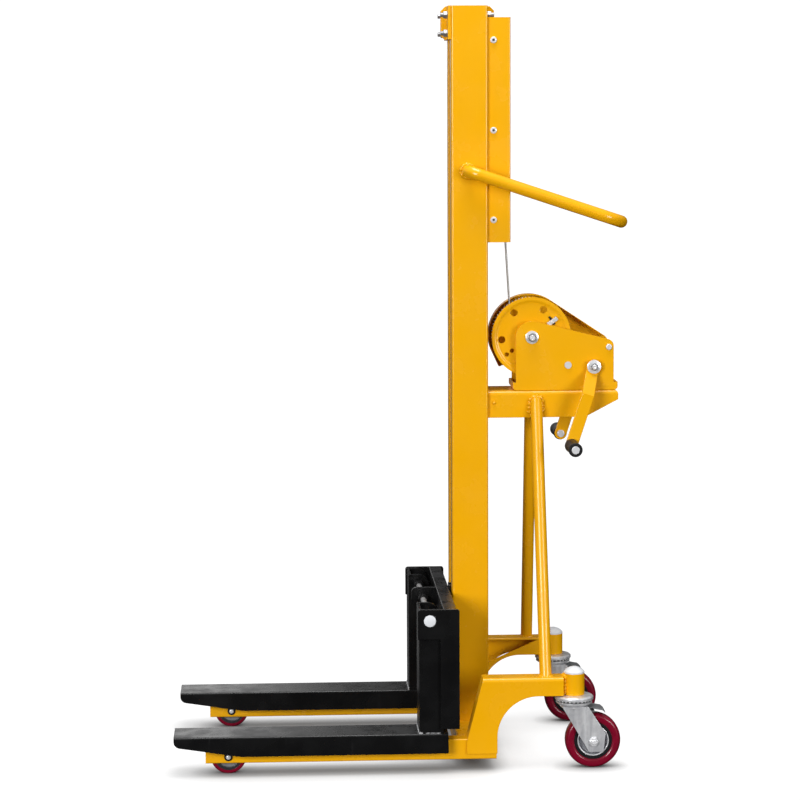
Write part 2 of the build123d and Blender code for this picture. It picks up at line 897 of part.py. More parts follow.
def winding_points():
    """Points and directions along the rope's turns on the drum, a quarter turn apart."""
    pitch = 2 * rope_radius + rope_gap
    rise = pitch / (2 * pi)
    last_y = pitch
    knots = []
    for step in range(winding_quarters + 1):
        angle = -(winding_quarters - step) * pi / 2
        y = last_y - rise * angle
        point = Vector(drum_x + rope_pitch_radius * cos(angle), y, drum_z + rope_pitch_radius * sin(angle))
        way = Vector(-rope_pitch_radius * sin(angle), -rise, rope_pitch_radius * cos(angle)).normalized()
        knots.append((point, way))
    return knots


def biarc(start, start_way, end, end_way):
    """Two arcs that leave a point and reach another along given directions."""
    span = end - start
    both = start_way + end_way
    spread = 2 * (1 - start_way.dot(end_way))
    along = span.dot(both)
    reach = (sqrt(along * along + spread * span.dot(span)) - along) / spread
    first = start + start_way * reach
    second = end - end_way * reach
    middle = (first + second) * 0.5
    return [Edge.make_tangent_arc(start, start_way, middle),
            Edge.make_tangent_arc(middle, second - first, end)]


def rope_winding():
    """Rope turns on the drum, one tube on arcs, with a short straight run at each end."""
    knots = winding_points()
    first, first_way = knots[0]
    last, last_way = knots[-1]
    run = 2 * rope_radius
    edges = [Edge.make_line(first - first_way * run, first)]
    for (a, a_way), (b, b_way) in zip(knots, knots[1:]):
        edges += biarc(a, a_way, b, b_way)
    edges.append(Edge.make_line(last, last + last_way * run))
    path = Wire(edges)
    section = Plane(path @ 0, z_dir=first_way) * RegularPolygon(rope_radius, rope_sides)
    print("winding least gap to itself:", round(rope_gap * cos(atan2(rope_gap, rope_pitch_radius)), 3), "mm")
    return sweep(section, path=path)


def lift_rope():
    """Rope from the drum up to the pulley and over it to the front."""
    dx = pulley_x - drum_x
    dz = pulley_z - drum_z
    distance = hypot(dx, dz)
    lean = atan2(dx, dz) - asin((rope_pitch_radius + pulley_pitch_radius) / distance)
    side = (cos(lean), -sin(lean))
    low = Vector(drum_x + rope_pitch_radius * side[0], 0, drum_z + rope_pitch_radius * side[1])
    high = Vector(pulley_x - pulley_pitch_radius * side[0], 0, pulley_z - pulley_pitch_radius * side[1])
    way = (high - low).normalized()
    front = Vector(pulley_x + pulley_pitch_radius, 0, pulley_z)
    path = Wire([Edge.make_line(low, high), Edge.make_tangent_arc(high, way, front)])
    return sweep(Plane(low, z_dir=way) * Circle(rope_radius), path=path)


def rope_front_fall():
    """Rope from the pulley down to the pin between the spine plates."""
    return rod_z_way(rope_radius, rope_pin_z + rope_pin_radius, pulley_z, pulley_x + pulley_pitch_radius, 0)


def base_leg():
    """Hollow leg with a pocket for the load wheel near its tip, on the left."""
    half = leg_width / 2
    outer = block(leg_rear_x, leg_front_x, leg_y - half, leg_y + half, leg_bottom, leg_top)
    outer = fillet(outer.edges().filter_by(Axis.X), leg_bend)
    inside = half - leg_wall
    hollow = block(leg_rear_x, leg_front_x - leg_tip_wall, leg_y - inside, leg_y + inside,
                   leg_bottom + leg_wall, leg_top - leg_wall)
    reach = load_wheel_radius + load_pocket_gap
    side = load_wheel_width / 2 + load_pocket_side
    pocket = block(load_axle_x - reach, load_axle_x + reach, leg_y - side, leg_y + side, 0, fork_top)
    bore = rod_y_way(load_axle_radius, leg_y - half, leg_y + half, (load_axle_x, load_wheel_radius))
    return outer - hollow - pocket - bore


def load_axle():
    """Bolt through the leg tip that carries the load wheel, on the left."""
    center = (load_axle_x, load_wheel_radius)
    half = leg_width / 2
    shaft = rod_y_way(load_axle_radius, leg_y - half, leg_y + half, center)
    head = rod_y_way(load_head_radius, leg_y + half, leg_y + half + load_head_height, center)
    head = chamfer(head.faces().sort_by(Axis.Y)[-1].edges(), load_head_edge)
    nut = nut_y_way(hex_ratio * load_head_radius, leg_y - half - load_head_height, leg_y - half, center)
    return union(shaft, head, nut)


def load_wheel():
    """Core of a load wheel with its hub, on the left."""
    half = load_wheel_width / 2
    boss = half + load_hub_boss
    bore = load_axle_radius + running_fit
    web = half - load_web_inset
    rim = load_core_radius - load_rim
    core = turned(
        [(bore, -boss), (load_hub_radius, -boss), (load_hub_radius, -web), (rim, -web), (rim, -half),
         (load_core_radius, -half), (load_core_radius, half), (rim, half), (rim, web), (load_hub_radius, web),
         (load_hub_radius, boss), (bore, boss)],
        (load_axle_x, load_wheel_radius),
    )
    return Pos(0, leg_y, 0) * core


def load_tread():
    """Tyre of a load wheel, on the left."""
    half = load_wheel_width / 2
    shoulder = half - load_tread_edge
    side = load_wheel_radius - load_tread_edge
    tread = turned(
        [(load_core_radius, -half), (side, -half), (load_wheel_radius, -shoulder),
         (load_wheel_radius, shoulder), (side, half), (load_core_radius, half)],
        (load_axle_x, load_wheel_radius),
    )
    return Pos(0, leg_y, 0) * tread


def base_beam():
    """Hollow cross beam between the legs, under the mast."""
    reach = leg_y - leg_width / 2
    outer = block(-half_depth, half_depth, -reach, reach, leg_bottom, leg_top)
    outer = fillet(outer.edges().filter_by(Axis.Y), leg_bend)
    inside = half_depth - leg_wall
    inner = block(-inside, inside, -reach, reach, leg_bottom + leg_wall, leg_top - leg_wall)
    return outer - inner


def bracket_outline():
    """Side view of a rear bracket, with the arch over the floor."""
    arm_bottom = bracket_top - arm_depth
    arch_z = arm_bottom - arch_radius
    rear = arch_x + arch_radius
    bend = sin(pi / 4) * arch_radius
    return make_face(
        Curve()
        + [
            Polyline((rear, arch_z), (rear, bracket_bottom), (bracket_front_x, bracket_bottom),
                     (bracket_front_x, bracket_knee), (bracket_top_x, bracket_top), (arm_end_x, bracket_top),
                     (arm_end_x, arm_bottom), (arch_x, arm_bottom)),
            ThreePointArc((arch_x, arm_bottom), (arch_x + bend, arch_z + bend), (rear, arch_z)),
        ]
    )


def bracket_inside():
    """Side view of the room under a rear bracket's roof and behind its sloping front."""
    slope = (bracket_top_x - bracket_front_x) / (bracket_top - bracket_knee)
    shift = bracket_wall * sqrt(1 + slope * slope)
    roof = bracket_top - bracket_wall
    return Polygon(
        (bracket_front_x - shift - slope * bracket_knee, 0),
        (bracket_front_x - shift + slope * (roof - bracket_knee), roof),
        (caster_x - cup_radius, roof),
        (caster_x - cup_radius, 0),
        align=None,
    )


def rear_bracket():
    """Pressed bracket from the leg up and back to the caster cup, on the left."""
    half = leg_width / 2 + bracket_wall
    solid = plate(bracket_outline(), leg_y - half, leg_y + half)
    tops = edges_along(solid, Axis.X, "Z", bracket_top)
    solid = fillet([e for e in tops if e.center().Y > leg_y], bracket_bend)
    tops = edges_along(solid, Axis.X, "Z", bracket_top)
    solid = fillet([e for e in tops if abs(e.center().Y - leg_y + half) < face_gap], bracket_edge)
    hollow = plate(bracket_inside(), leg_y - half, leg_y + half - bracket_wall)
    leg_room = block(leg_rear_x - half, leg_front_x, leg_y - half, leg_y + leg_width / 2, 0, leg_top)
    cup_room = rod_z_way(cup_radius, 0, mast_top, caster_x, leg_y)
    roof = bracket_top - bracket_wall
    arm_bottom = bracket_top - arm_depth
    inside = leg_width / 2
    end_wall = block(arm_end_x, arm_end_x + bracket_wall, leg_y - inside, leg_y + inside, arm_bottom, roof)
    neck = block(caster_x, arm_end_x, leg_y - arm_neck / 2, leg_y + arm_neck / 2, arm_bottom, bracket_top)
    return union(solid - hollow - leg_room, end_wall, neck) - cup_room


def bracket_gusset():
    """Plate on the inner side of a rear bracket, under a slanting line above the arch, on the left."""
    half = leg_width / 2 + bracket_wall
    roof = bracket_top - bracket_wall
    area = Polygon((bracket_front_x, leg_top), (bracket_front_x, gusset_front_z), (gusset_top_x, roof),
                   (arm_end_x, roof), (arm_end_x, leg_top), align=None)
    return plate(bracket_outline() & bracket_inside() & area, leg_y - half, leg_y - half + bracket_wall)


def caster_cup():
    """Round socket for the caster stem, on the left."""
    outer = rod_z_way(cup_radius, cup_bottom, cup_top, caster_x, leg_y)
    return outer - rod_z_way(stem_radius, cup_bottom, cup_top, caster_x, leg_y)


def cup_cap():
    """Domed cap on a caster cup, on the left."""
    crown = cup_top + cap_height
    dome_height = 3 * cap_height / 4
    dome_radius = (cup_radius**2 + dome_height**2) / (2 * dome_height)
    dome = Pos(caster_x, leg_y, crown - dome_radius) * Sphere(dome_radius)
    return rod_z_way(cup_radius, cup_top, crown, caster_x, leg_y) & dome


def caster_stem():
    """Stem with the fixed upper race and the kingpin of a caster, on the left."""
    foot = yoke_top - yoke_wall
    head = foot - kingpin_head_height
    stem = stem_radius - running_fit
    track_bottom = race_bottom - track_height + face_gap
    return turned_upright(
        [(0, cup_top - face_gap), (stem, cup_top - face_gap), (stem, cup_bottom), (cup_radius, cup_bottom),
         (race_radius - race_slope, cup_bottom - race_slope / 2), (race_radius, race_bottom + race_rim),
         (race_radius, race_bottom), (track_radius, race_bottom), (track_radius, track_bottom),
         (kingpin_radius, track_bottom), (kingpin_radius, foot - face_gap),
         (kingpin_radius + kingpin_head, foot - face_gap), (kingpin_radius + kingpin_head, head), (0, head)],
        caster_x, leg_y,
    )


def yoke_outline():
    """Side view of a yoke cheek, leaning back from the swivel to the axle."""
    outline = Polygon(
        (caster_x + yoke_front, yoke_top),
        (caster_x - yoke_rear, yoke_top),
        (caster_axle_x - yoke_lobe_reach, caster_radius + yoke_lobe_rise),
        (caster_axle_x - yoke_foot_rear, caster_radius - yoke_foot_drop),
        (caster_axle_x + yoke_foot_front, caster_radius - yoke_foot_drop),
        align=None,
    )
    return fillet([v for v in outline.vertices() if v.Y < yoke_top - face_gap], yoke_corner)


def yoke_cheek():
    """Left cheek of a yoke: sheet drawn in at the front and pressed into an upright ridge."""
    ridge = caster_x + yoke_ridge_x
    inner = [
        (caster_x + yoke_front, yoke_nose_half_gap),
        (ridge + yoke_ridge_half, yoke_ridge_half_gap),
        (ridge - yoke_ridge_half, yoke_ridge_half_gap),
        (ridge - 3 * yoke_ridge_half, yoke_half_gap),
        (caster_axle_x - caster_radius, yoke_half_gap),
    ]
    outer = [(x, y + yoke_wall) for x, y in reversed(inner)]
    sheet = extrude(Pos(0, leg_y, 0) * Polygon(*inner, *outer, align=None), yoke_top, dir=(0, 0, 1))
    return sheet & plate(yoke_outline(), leg_y, leg_y + 2 * yoke_ridge_half_gap)


def caster_yoke():
    """Swivel yoke with its lower race, the axle bolt and the pin of the brake pedal, on the left."""
    bore = kingpin_radius + running_fit
    top = race_bottom - track_height
    crown = turned_upright(
        [(bore, yoke_top - yoke_wall), (lower_race_foot, yoke_top - yoke_wall), (lower_race_foot, yoke_top),
         (lower_race_radius, top - lower_race_rim), (lower_race_radius, top), (bore, top)],
        caster_x, leg_y,
    )
    cheek = yoke_cheek()
    yoke = union(crown, cheek, mirror(cheek, Plane.XZ.offset(-leg_y)))
    axle = (caster_axle_x, caster_radius)
    pivot = (pedal_pivot_x, pedal_pivot_z)
    reach = 2 * yoke_half_gap
    outside = yoke_half_gap + yoke_wall
    yoke = yoke - rod_y_way(caster_bolt_radius, leg_y - reach, leg_y + reach, axle)
    yoke = yoke - rod_y_way(pedal_pin_radius, leg_y - reach, leg_y + reach, pivot)
    head = rod_y_way(caster_head_radius, leg_y - outside - caster_head_height, leg_y - outside, axle)
    head = fillet(head.faces().sort_by(Axis.Y)[0].edges(), caster_head_edge)
    nut_end = leg_y + outside + caster_nut_height
    nut = nut_y_way(caster_nut_flats, leg_y + outside, nut_end, axle)
    bolt = union(rod_y_way(caster_bolt_radius, leg_y - outside, nut_end + caster_bolt_tail, axle), head, nut)
    pin_end = outside + pedal_pin_tail
    pin = rod_y_way(pedal_pin_radius, leg_y - pin_end, leg_y + pin_end, pivot)
    return [yoke, bolt, pin]


def caster_wheel():
    """Wheel core of a caster: hub, web and rim, on the left."""
    hub = yoke_half_gap - face_gap
    bore = caster_bolt_radius + running_fit
    rim = rim_width / 2
    web = web_thickness / 2
    hub_foot = hub_radius + hub_flare
    dish = rim_inner - rim_flare
    core = turned(
        [(bore, -hub), (hub_radius, -hub), (hub_foot, -web), (dish, -web), (rim_inner, -rim),
         (tread_inner, -rim), (tread_inner, rim), (rim_inner, rim), (dish, web), (hub_foot, web),
         (hub_radius, hub), (bore, hub)],
        (caster_axle_x, caster_radius),
    )
    return Pos(0, leg_y, 0) * core


def caster_tread():
    """Tyre of a caster wheel with rounded shoulders, on the left."""
    half = caster_width / 2
    side = tread_inner + tread_side
    shoulder = caster_radius - tread_shoulder
    crown = half - tread_crown
    bulge = (caster_radius - tread_drop, half - tread_side)
    tread = turned(
        [(tread_inner, -rim_width / 2), (side, -half), (shoulder, -half), (bulge[0], -bulge[1]),
         (caster_radius, -crown), (caster_radius, crown), bulge, (shoulder, half),
         (side, half), (tread_inner, rim_width / 2)],
        (caster_axle_x, caster_radius),
    )
    return Pos(0, leg_y, 0) * tread


def brake_pedal():
    """Foot pedal on the yoke, with the shoe that presses on the wheel, on the left."""
    pivot = (pedal_pivot_x, pedal_pivot_z)
    top = pedal_pivot_z + pedal_rise
    low = top - pedal_fall
    line = [
        (pedal_pivot_x, pedal_pivot_z + pedal_boss_radius),
        (pedal_pivot_x - pedal_tread_start, top),
        (pedal_pivot_x - pedal_tread_end, low),
        (pedal_pivot_x - pedal_tip, low - pedal_tip_drop),
    ]
    blade_face = Polygon(*line, *[(x, z - pedal_thickness) for x, z in reversed(line)], align=None)
    root = plate(blade_face, leg_y - pedal_root_half, leg_y + pedal_root_half)
    tread = plate(blade_face, leg_y - pedal_half, leg_y + pedal_half)
    tread = tread & block(pedal_pivot_x - pedal_tip, pedal_pivot_x - pedal_tread_start,
                          leg_y - pedal_half, leg_y + pedal_half, 0, cup_top)
    boss = rod_y_way(pedal_boss_radius, leg_y - pedal_root_half, leg_y + pedal_root_half, pivot)
    shoe_bottom = 2 * caster_radius + shoe_gap
    shoe = block(pedal_pivot_x - shoe_end, pedal_pivot_x - shoe_start, leg_y - pedal_root_half,
                 leg_y + pedal_root_half, shoe_bottom, shoe_bottom + shoe_height)
    pedal = union(boss, root, tread, shoe)
    bore = rod_y_way(pedal_pin_radius + running_fit, leg_y - 2 * pedal_half, leg_y + 2 * pedal_half, pivot)
    return pedal - bore


def carriage_end_plate():
    """End plate of the carriage with a forward arm that holds the rod, on the left."""
    outline = Polygon(
        (end_rear_x, end_bottom),
        (end_post_x, end_bottom),
        (end_post_x, end_arm_bottom),
        (end_front_x, end_arm_bottom),
        (end_front_x, carriage_top),
        (end_rear_x, carriage_top),
        align=None,
    )
    tops = [v for v in outline.vertices() if abs(v.Y - carriage_top) < 0.01]
    outline = fillet(tops, end_corner)
    end = plate(outline, end_inner_y, carriage_half_width)
    return end - rod_y_way(rod_head_radius, 0, 2 * carriage_half_width, (rod_x, rod_z))


def carriage_bar(bottom):
    """Hollow cross bar of the carriage, between the end plates."""
    outer = block(bar_rear_x, bar_front_x, -end_inner_y, end_inner_y, bottom, bottom + bar_height)
    outer = fillet(outer.edges().filter_by(Axis.Y), bar_wall / 2)
    inner = block(bar_rear_x + bar_wall, bar_front_x - bar_wall, -end_inner_y, end_inner_y,
                  bottom + bar_wall, bottom + bar_height - bar_wall)
    return outer - inner


def carriage_bars():
    """Top and bottom cross bars of the carriage."""
    return [carriage_bar(carriage_top - bar_height), carriage_bar(lower_bar_bottom)]


def carriage_rod():
    """Round rod along which the forks slide, with a head in each end plate."""
    center = (rod_x, rod_z)
    rod = rod_y_way(rod_radius, -end_inner_y, end_inner_y, center)
    head = rod_y_way(rod_head_radius, end_inner_y, carriage_half_width, center)
    rim = head.edges().filter_by(GeomType.CIRCLE).sort_by(Axis.Y)[-1]
    return union(rod, *both_sides(chamfer(rim, rod_edge)))


def carriage_spine():
    """Two plates that reach through the mast slot, and the lug that carries the middle of the rod."""
    outline = Polygon(
        (bar_rear_x, spine_bottom),
        (bar_rear_x, spine_top),
        (spine_rear_x, spine_top),
        (spine_rear_x, spine_bottom),
        align=None,
    )
    rear = [v for v in outline.vertices() if abs(v.X - spine_rear_x) < 0.01]
    outline = chamfer(rear, spine_corner)
    side = plate(outline, spine_inner_y, spine_outer_y)
    for z in (roller_z_low, roller_z_high):
        side = side - rod_y_way(roller_pin_radius, 0, half_width, (0, z))
    rope_x = pulley_x + pulley_pitch_radius
    side = side - rod_y_way(rope_pin_radius, 0, half_width, (rope_x, rope_pin_z))
    lug_bottom = carriage_top - bar_height
    lug_face = Polygon((bar_front_x, lug_bottom), (end_front_x, lug_bottom), (end_front_x, carriage_top),
                       (bar_front_x, carriage_top), align=None)
    lug_face = fillet([v for v in lug_face.vertices() if abs(v.X - end_front_x) < 0.01], lug_corner)
    center = (rod_x, rod_z)
    reach = lug_thickness / 2 + lug_boss
    boss = rod_y_way(bush_radius, -reach, reach, center)
    lug = union(plate(lug_face, -lug_thickness / 2, lug_thickness / 2), boss)
    return both_sides(side) + [lug - rod_y_way(rod_radius, -reach, reach, center)]


def carriage_pins():
    """Roller pins on both spine plates, and the pin that holds the rope."""
    pins = []
    for z in (roller_z_low, roller_z_high):
        collar_start = roller_inner_y + roller_width + face_gap
        shaft = rod_y_way(roller_pin_radius, spine_inner_y, collar_start, (0, z))
        shoulder = rod_y_way(roller_collar_radius, spine_outer_y, roller_inner_y - face_gap, (0, z))
        collar = rod_y_way(roller_collar_radius, collar_start, collar_start + roller_collar, (0, z))
        pins += both_sides(union(shaft, shoulder, collar))
    reach = spine_outer_y + rope_pin_tail
    pins.append(rod_y_way(rope_pin_radius, -reach, reach, (pulley_x + pulley_pitch_radius, rope_pin_z)))
    return pins


def roller(z):
    """Mast roller with a recessed side face, on the left."""
    y0 = roller_inner_y
    y1 = roller_inner_y + roller_width
    bore = roller_pin_radius + running_fit
    tread = roller_radius - roller_edge
    rim = roller_radius - roller_rim
    hub = bore + roller_hub
    floor = y1 - roller_recess
    return turned(
        [(bore, y0), (tread, y0), (roller_radius, y0 + roller_edge), (roller_radius, y1 - roller_edge),
         (tread, y1), (rim, y1), (rim - roller_slope, floor), (hub + roller_slope, floor),
         (hub, y1), (bore, y1)],
        (0, z),
    )


def fork_side_face():
    """Side view of a fork's wall, with its tapered nose and round tip."""
    roof = fork_top - fork_wall
    tip_bottom = fork_top - fork_tip_depth
    outline = Polygon(
        (fork_heel_x, fork_bottom),
        (fork_tip_x - fork_taper, fork_bottom),
        (fork_tip_x, tip_bottom),
        (fork_tip_x, roof),
        (fork_heel_x, roof),
        align=None,
    )
    nose = [v for v in outline.vertices() if abs(v.X - fork_tip_x) < 0.01 and abs(v.Y - tip_bottom) < 0.01]
    return fillet(nose, min(fork_tip_radius, 0.95 * (roof - tip_bottom)))


def fork_ear_face():
    """Side view of a shank cheek, round about the rod."""
    rear = bar_front_x + face_gap
    front = shank_front_x - shank_wall
    neck = rod_z - ear_neck
    post = Pos((rear + front) / 2, (fork_top + neck) / 2) * Rectangle(front - rear, neck - fork_top)
    head = Pos(rod_x, rod_z) * Circle(ear_radius)
    nose = Pos((rod_x + front) / 2, (neck + shank_top) / 2) * Rectangle(front - rod_x, shank_top - neck)
    beyond = Pos(front + ear_radius, rod_z) * Rectangle(2 * ear_radius, 4 * ear_radius)
    return post + head + nose - beyond - Pos(rod_x, rod_z) * Circle(rod_radius + running_fit)


def fork():
    """Fork of welded plates: blade, heel, nose, shank front and two cheeks on the rod, on the left."""
    roof = fork_top - fork_wall
    top = block(shank_front_x, fork_tip_x, fork_inner_y, fork_outer_y, roof, fork_top)
    top = fillet(edges_along(top, Axis.X, "Z", fork_top), fork_edge)
    heel = block(fork_heel_x, shank_front_x, fork_inner_y, fork_outer_y, roof, fork_top)
    heel = fillet(edges_along(heel, Axis.X, "Z", fork_top), fork_edge)
    side_face = fork_side_face()
    outer_side = plate(side_face, fork_outer_y - fork_wall, fork_outer_y)
    inner_side = plate(side_face, fork_inner_y, fork_inner_y + fork_wall)
    nose = plate(side_face, fork_inner_y + fork_wall, fork_outer_y - fork_wall)
    nose = nose & block(fork_tip_x - fork_wall, fork_tip_x, fork_inner_y, fork_outer_y, fork_bottom, fork_top)
    front = block(shank_front_x - shank_wall, shank_front_x, fork_inner_y, ear_outer_y, fork_top, shank_top)
    ear_face = fork_ear_face()
    outer_ear = plate(ear_face, ear_outer_y - ear_thickness, ear_outer_y)
    inner_ear = plate(ear_face, fork_inner_y, fork_inner_y + ear_thickness)
    bush = rod_y_way(bush_radius, fork_inner_y - bush_length, fork_inner_y, (rod_x, rod_z))
    bush = bush - rod_y_way(rod_radius + running_fit, 0, carriage_half_width, (rod_x, rod_z))
    return [top, heel, outer_side, inner_side, nose, front, outer_ear, inner_ear, bush]


def crank_arm():
    """Bent flat bar from the crank shaft to the grip, on the left."""
    low = crank_radius + arm_width / 2
    profile = Polygon(
        (arm_root_y, arm_hub_radius),
        (arm_root_y, -arm_bend_high),
        (arm_low_y, -arm_bend_low),
        (arm_low_y, -low),
        (arm_low_y + arm_thickness, -low),
        (arm_low_y + arm_thickness, -arm_bend_low + arm_thickness / 2),
        (arm_root_y + arm_thickness, -arm_bend_high + arm_thickness / 2),
        (arm_root_y + arm_thickness, arm_hub_radius),
        align=None,
    )
    bar = extrude(Plane.YZ * profile, arm_hub_radius, both=True)
    shape = Pos(0, -crank_radius / 2) * Rectangle(arm_width, crank_radius)
    shape = shape + Circle(arm_hub_radius) + Pos(0, -crank_radius) * Circle(arm_width / 2)
    arm = bar & plate(shape, 0, 2 * frame_half_width + arm_offset)
    arm = arm - rod_y_way(shaft_radius, 0, 2 * carriage_half_width, (0, 0))
    arm = arm - rod_y_way(grip_bolt_radius, 0, 2 * carriage_half_width, (0, -crank_radius))
    return on_crank(arm)


def on_crank(shape):
    """Set a crank piece, drawn hanging from the origin, on the crank shaft at its resting lean."""
    return Pos(crank_center[0], 0, crank_center[1]) * Rot(0, -crank_lean, 0) * shape


def crank_bolt_set():
    """Hub washer and nut, and the grip's bolt, on the left crank arm."""
    hub_y = arm_root_y + arm_thickness
    washer = rod_y_way(arm_hub_radius, hub_y, hub_y + washer_thickness, (0, 0))
    nut = nut_y_way(nut_flats, hub_y + washer_thickness, hub_y + washer_thickness + nut_height, (0, 0))
    tip = (0, -crank_radius)
    grip_end = grip_start_y + grip_length + face_gap
    head = rod_y_way(bolt_head_radius, arm_low_y - bolt_head_height, arm_low_y, tip)
    head = chamfer(head.faces().sort_by(Axis.Y)[0].edges(), bolt_head_edge)
    shank = rod_y_way(grip_bolt_radius, arm_low_y, grip_end, tip)
    end = rod_y_way(bolt_head_radius, grip_end, grip_end + grip_end_cap, tip)
    return [on_crank(union(washer, nut)), on_crank(union(head, shank, end))]


def crank_grip():
    """Turning grip on the crank arm, on the left."""
    bore = grip_bolt_radius + running_fit
    y0 = grip_start_y
    y1 = grip_start_y + grip_length
    grip = turned(
        [(bore, y0), (grip_radius - grip_edge, y0), (grip_radius, y0 + grip_edge),
         (grip_waist, (y0 + y1) / 2), (grip_radius, y1 - grip_edge), (grip_radius - grip_edge, y1),
         (bore, y1)],
        (0, -crank_radius),
    )
    return on_crank(grip)


def winch_screws():
    """Corner screws of the winch's side plates."""
    center = (corner_screw_x, corner_screw_z)
    inside = plate_inner - corner_screw_tail
    shank = rod_y_way(corner_screw_radius, inside, frame_half_width, center)
    head_radius = corner_screw_radius + corner_screw_head
    head = rod_y_way(head_radius, frame_half_width, frame_half_width + screw_head_height, center)
    head = fillet(head.faces().sort_by(Axis.Y)[-1].edges(), screw_head_height / 2)
    return both_sides(union(shank, head))


def pieces():
    """Every node by name, left pieces first."""
    left_channel = mast_channel()
    nodes = {
        "mast_left": left_channel,
        "mast_right": mirrored(left_channel),
        "mast_tie_plates": mast_tie_plates(),
        "pulley_bracket": pulley_bracket(),
        "bracket_bolts": bracket_bolts(),
        "pulley_axle": pulley_axle(),
        "rope_guard": rope_guard(),
        "guard_screws": guard_screws(),
        "push_handle": push_handle(),
        "winch_platform": winch_platform(),
        "platform_struts": both_sides(platform_strut()),
        "winch_frame": winch_frame(),
        "winch_cover": winch_cover(),
        "winch_screws": winch_screws(),
        "drum_axle": drum_axle(),
        "base_legs": both_sides(base_leg()),
        "base_beam": base_beam(),
        "load_axles": both_sides(load_axle()),
        "rear_brackets": both_sides(rear_bracket()),
        "bracket_gussets": both_sides(bracket_gusset()),
        "caster_cups": both_sides(caster_cup()),
        "cup_caps": both_sides(cup_cap()),
        "caster_stems": both_sides(caster_stem()),
        "lift_rope": lift_rope(),
        "carriage_end_plates": both_sides(carriage_end_plate()),
        "carriage_bars": carriage_bars(),
        "carriage_rod": carriage_rod(),
        "carriage_spine": carriage_spine(),
        "carriage_pins": carriage_pins(),
        "rope_front_fall": rope_front_fall(),
        "rope_pulley": rope_pulley(),
        "winch_drum": winch_drum(),
        "drum_gear": drum_gear(),
        "rope_winding": rope_winding(),
        "rope_clamp": rope_clamp(),
        "intermediate_shaft": intermediate_shaft(),
        "intermediate_gear": intermediate_gear(),
        "crank_shaft": crank_shaft(),
        "crank_arms": both_sides(crank_arm()),
        "crank_bolts": [solid for bolt in crank_bolt_set() for solid in both_sides(bolt)],
    }
    sided = {
        "roller_low": roller(roller_z_low),
        "roller_high": roller(roller_z_high),
        "fork": fork(),
        "crank_grip": crank_grip(),
        "caster_yoke": caster_yoke(),
        "caster_wheel": caster_wheel(),
        "caster_tread": caster_tread(),
        "brake_pedal": brake_pedal(),
        "load_wheel": load_wheel(),
        "load_tread": load_tread(),
    }
    for name, shape in sided.items():
        solids = shape if isinstance(shape, list) else [shape]
        nodes[name + "_left"] = solids
        nodes[name + "_right"] = [mirrored(solid) for solid in solids]
    return nodes


def write(name, shape):
    """Write one node, with the origin under the middle of the whole machine."""
    solids = shape if isinstance(shape, list) else [shape]
    placed = [Pos(-origin_x, 0, 0) * solid for solid in solids]
    whole = placed[0] if len(placed) == 1 else Compound(children=placed)
    export_step(whole, os.path.join("parts", name + ".step"))


os.makedirs("parts", exist_ok=True)
for node_name, node_shape in pieces().items():
    write(node_name, node_shape)
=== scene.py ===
import json
from math import asin, atan2, cos, hypot, pi, radians, sin

import bmesh
import bpy
from mathutils import Matrix, Vector


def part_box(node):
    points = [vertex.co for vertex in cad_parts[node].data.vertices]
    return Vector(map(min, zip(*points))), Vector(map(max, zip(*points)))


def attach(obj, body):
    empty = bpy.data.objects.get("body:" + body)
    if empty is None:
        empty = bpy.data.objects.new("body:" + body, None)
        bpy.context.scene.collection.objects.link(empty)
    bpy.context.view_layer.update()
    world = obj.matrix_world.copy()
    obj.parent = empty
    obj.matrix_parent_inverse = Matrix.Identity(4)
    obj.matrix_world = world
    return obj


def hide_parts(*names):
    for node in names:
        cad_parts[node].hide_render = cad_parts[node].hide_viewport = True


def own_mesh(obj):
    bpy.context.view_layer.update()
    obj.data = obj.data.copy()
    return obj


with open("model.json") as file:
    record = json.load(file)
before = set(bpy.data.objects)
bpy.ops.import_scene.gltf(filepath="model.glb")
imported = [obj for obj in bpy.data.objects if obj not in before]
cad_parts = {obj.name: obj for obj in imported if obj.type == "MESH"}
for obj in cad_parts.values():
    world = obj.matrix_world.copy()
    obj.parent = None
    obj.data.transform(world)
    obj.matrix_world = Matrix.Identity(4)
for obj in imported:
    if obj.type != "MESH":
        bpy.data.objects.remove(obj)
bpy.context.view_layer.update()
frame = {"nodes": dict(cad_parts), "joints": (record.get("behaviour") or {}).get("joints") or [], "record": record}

MM = 0.001
ALONG, ACROSS, UP = Vector((1, 0, 0)), Vector((0, 1, 0)), Vector((0, 0, 1))
WHITE = (1, 1, 1, 1)
BODIES = frame["record"]["behaviour"]["bodies"]
BODY_OF = {node: body for body, nodes in BODIES.items() for node in nodes}
SLOT_OF = {row["node"]: row["material_slot"] for row in frame["record"]["subparts"]}
PIVOT = {joint["name"]: Vector(joint["pos_m"]) for joint in frame["joints"] if "pos_m" in joint}
SIDES = (("left", 1), ("right", -1))
WHEEL_FACES = (("outside", 1), ("inside", -1))
MAST_X = PIVOT["upper_roller_left_spin"].x


def spot(x, y, z):
    """Place given in millimetres from the mast's centre line, the middle plane and the floor."""
    return Vector((MAST_X + x * MM, y * MM, z * MM))


def on_middle(place):
    """Place moved across to the middle plane."""
    return Vector((place.x, 0, place.z))


# Shader groups

COLOUR = "NodeSocketColor"
NUMBER = "NodeSocketFloat"
SKIN = {"Color": COLOUR, "Roughness": NUMBER, "Height": NUMBER}
MASK = {"Mask": NUMBER}

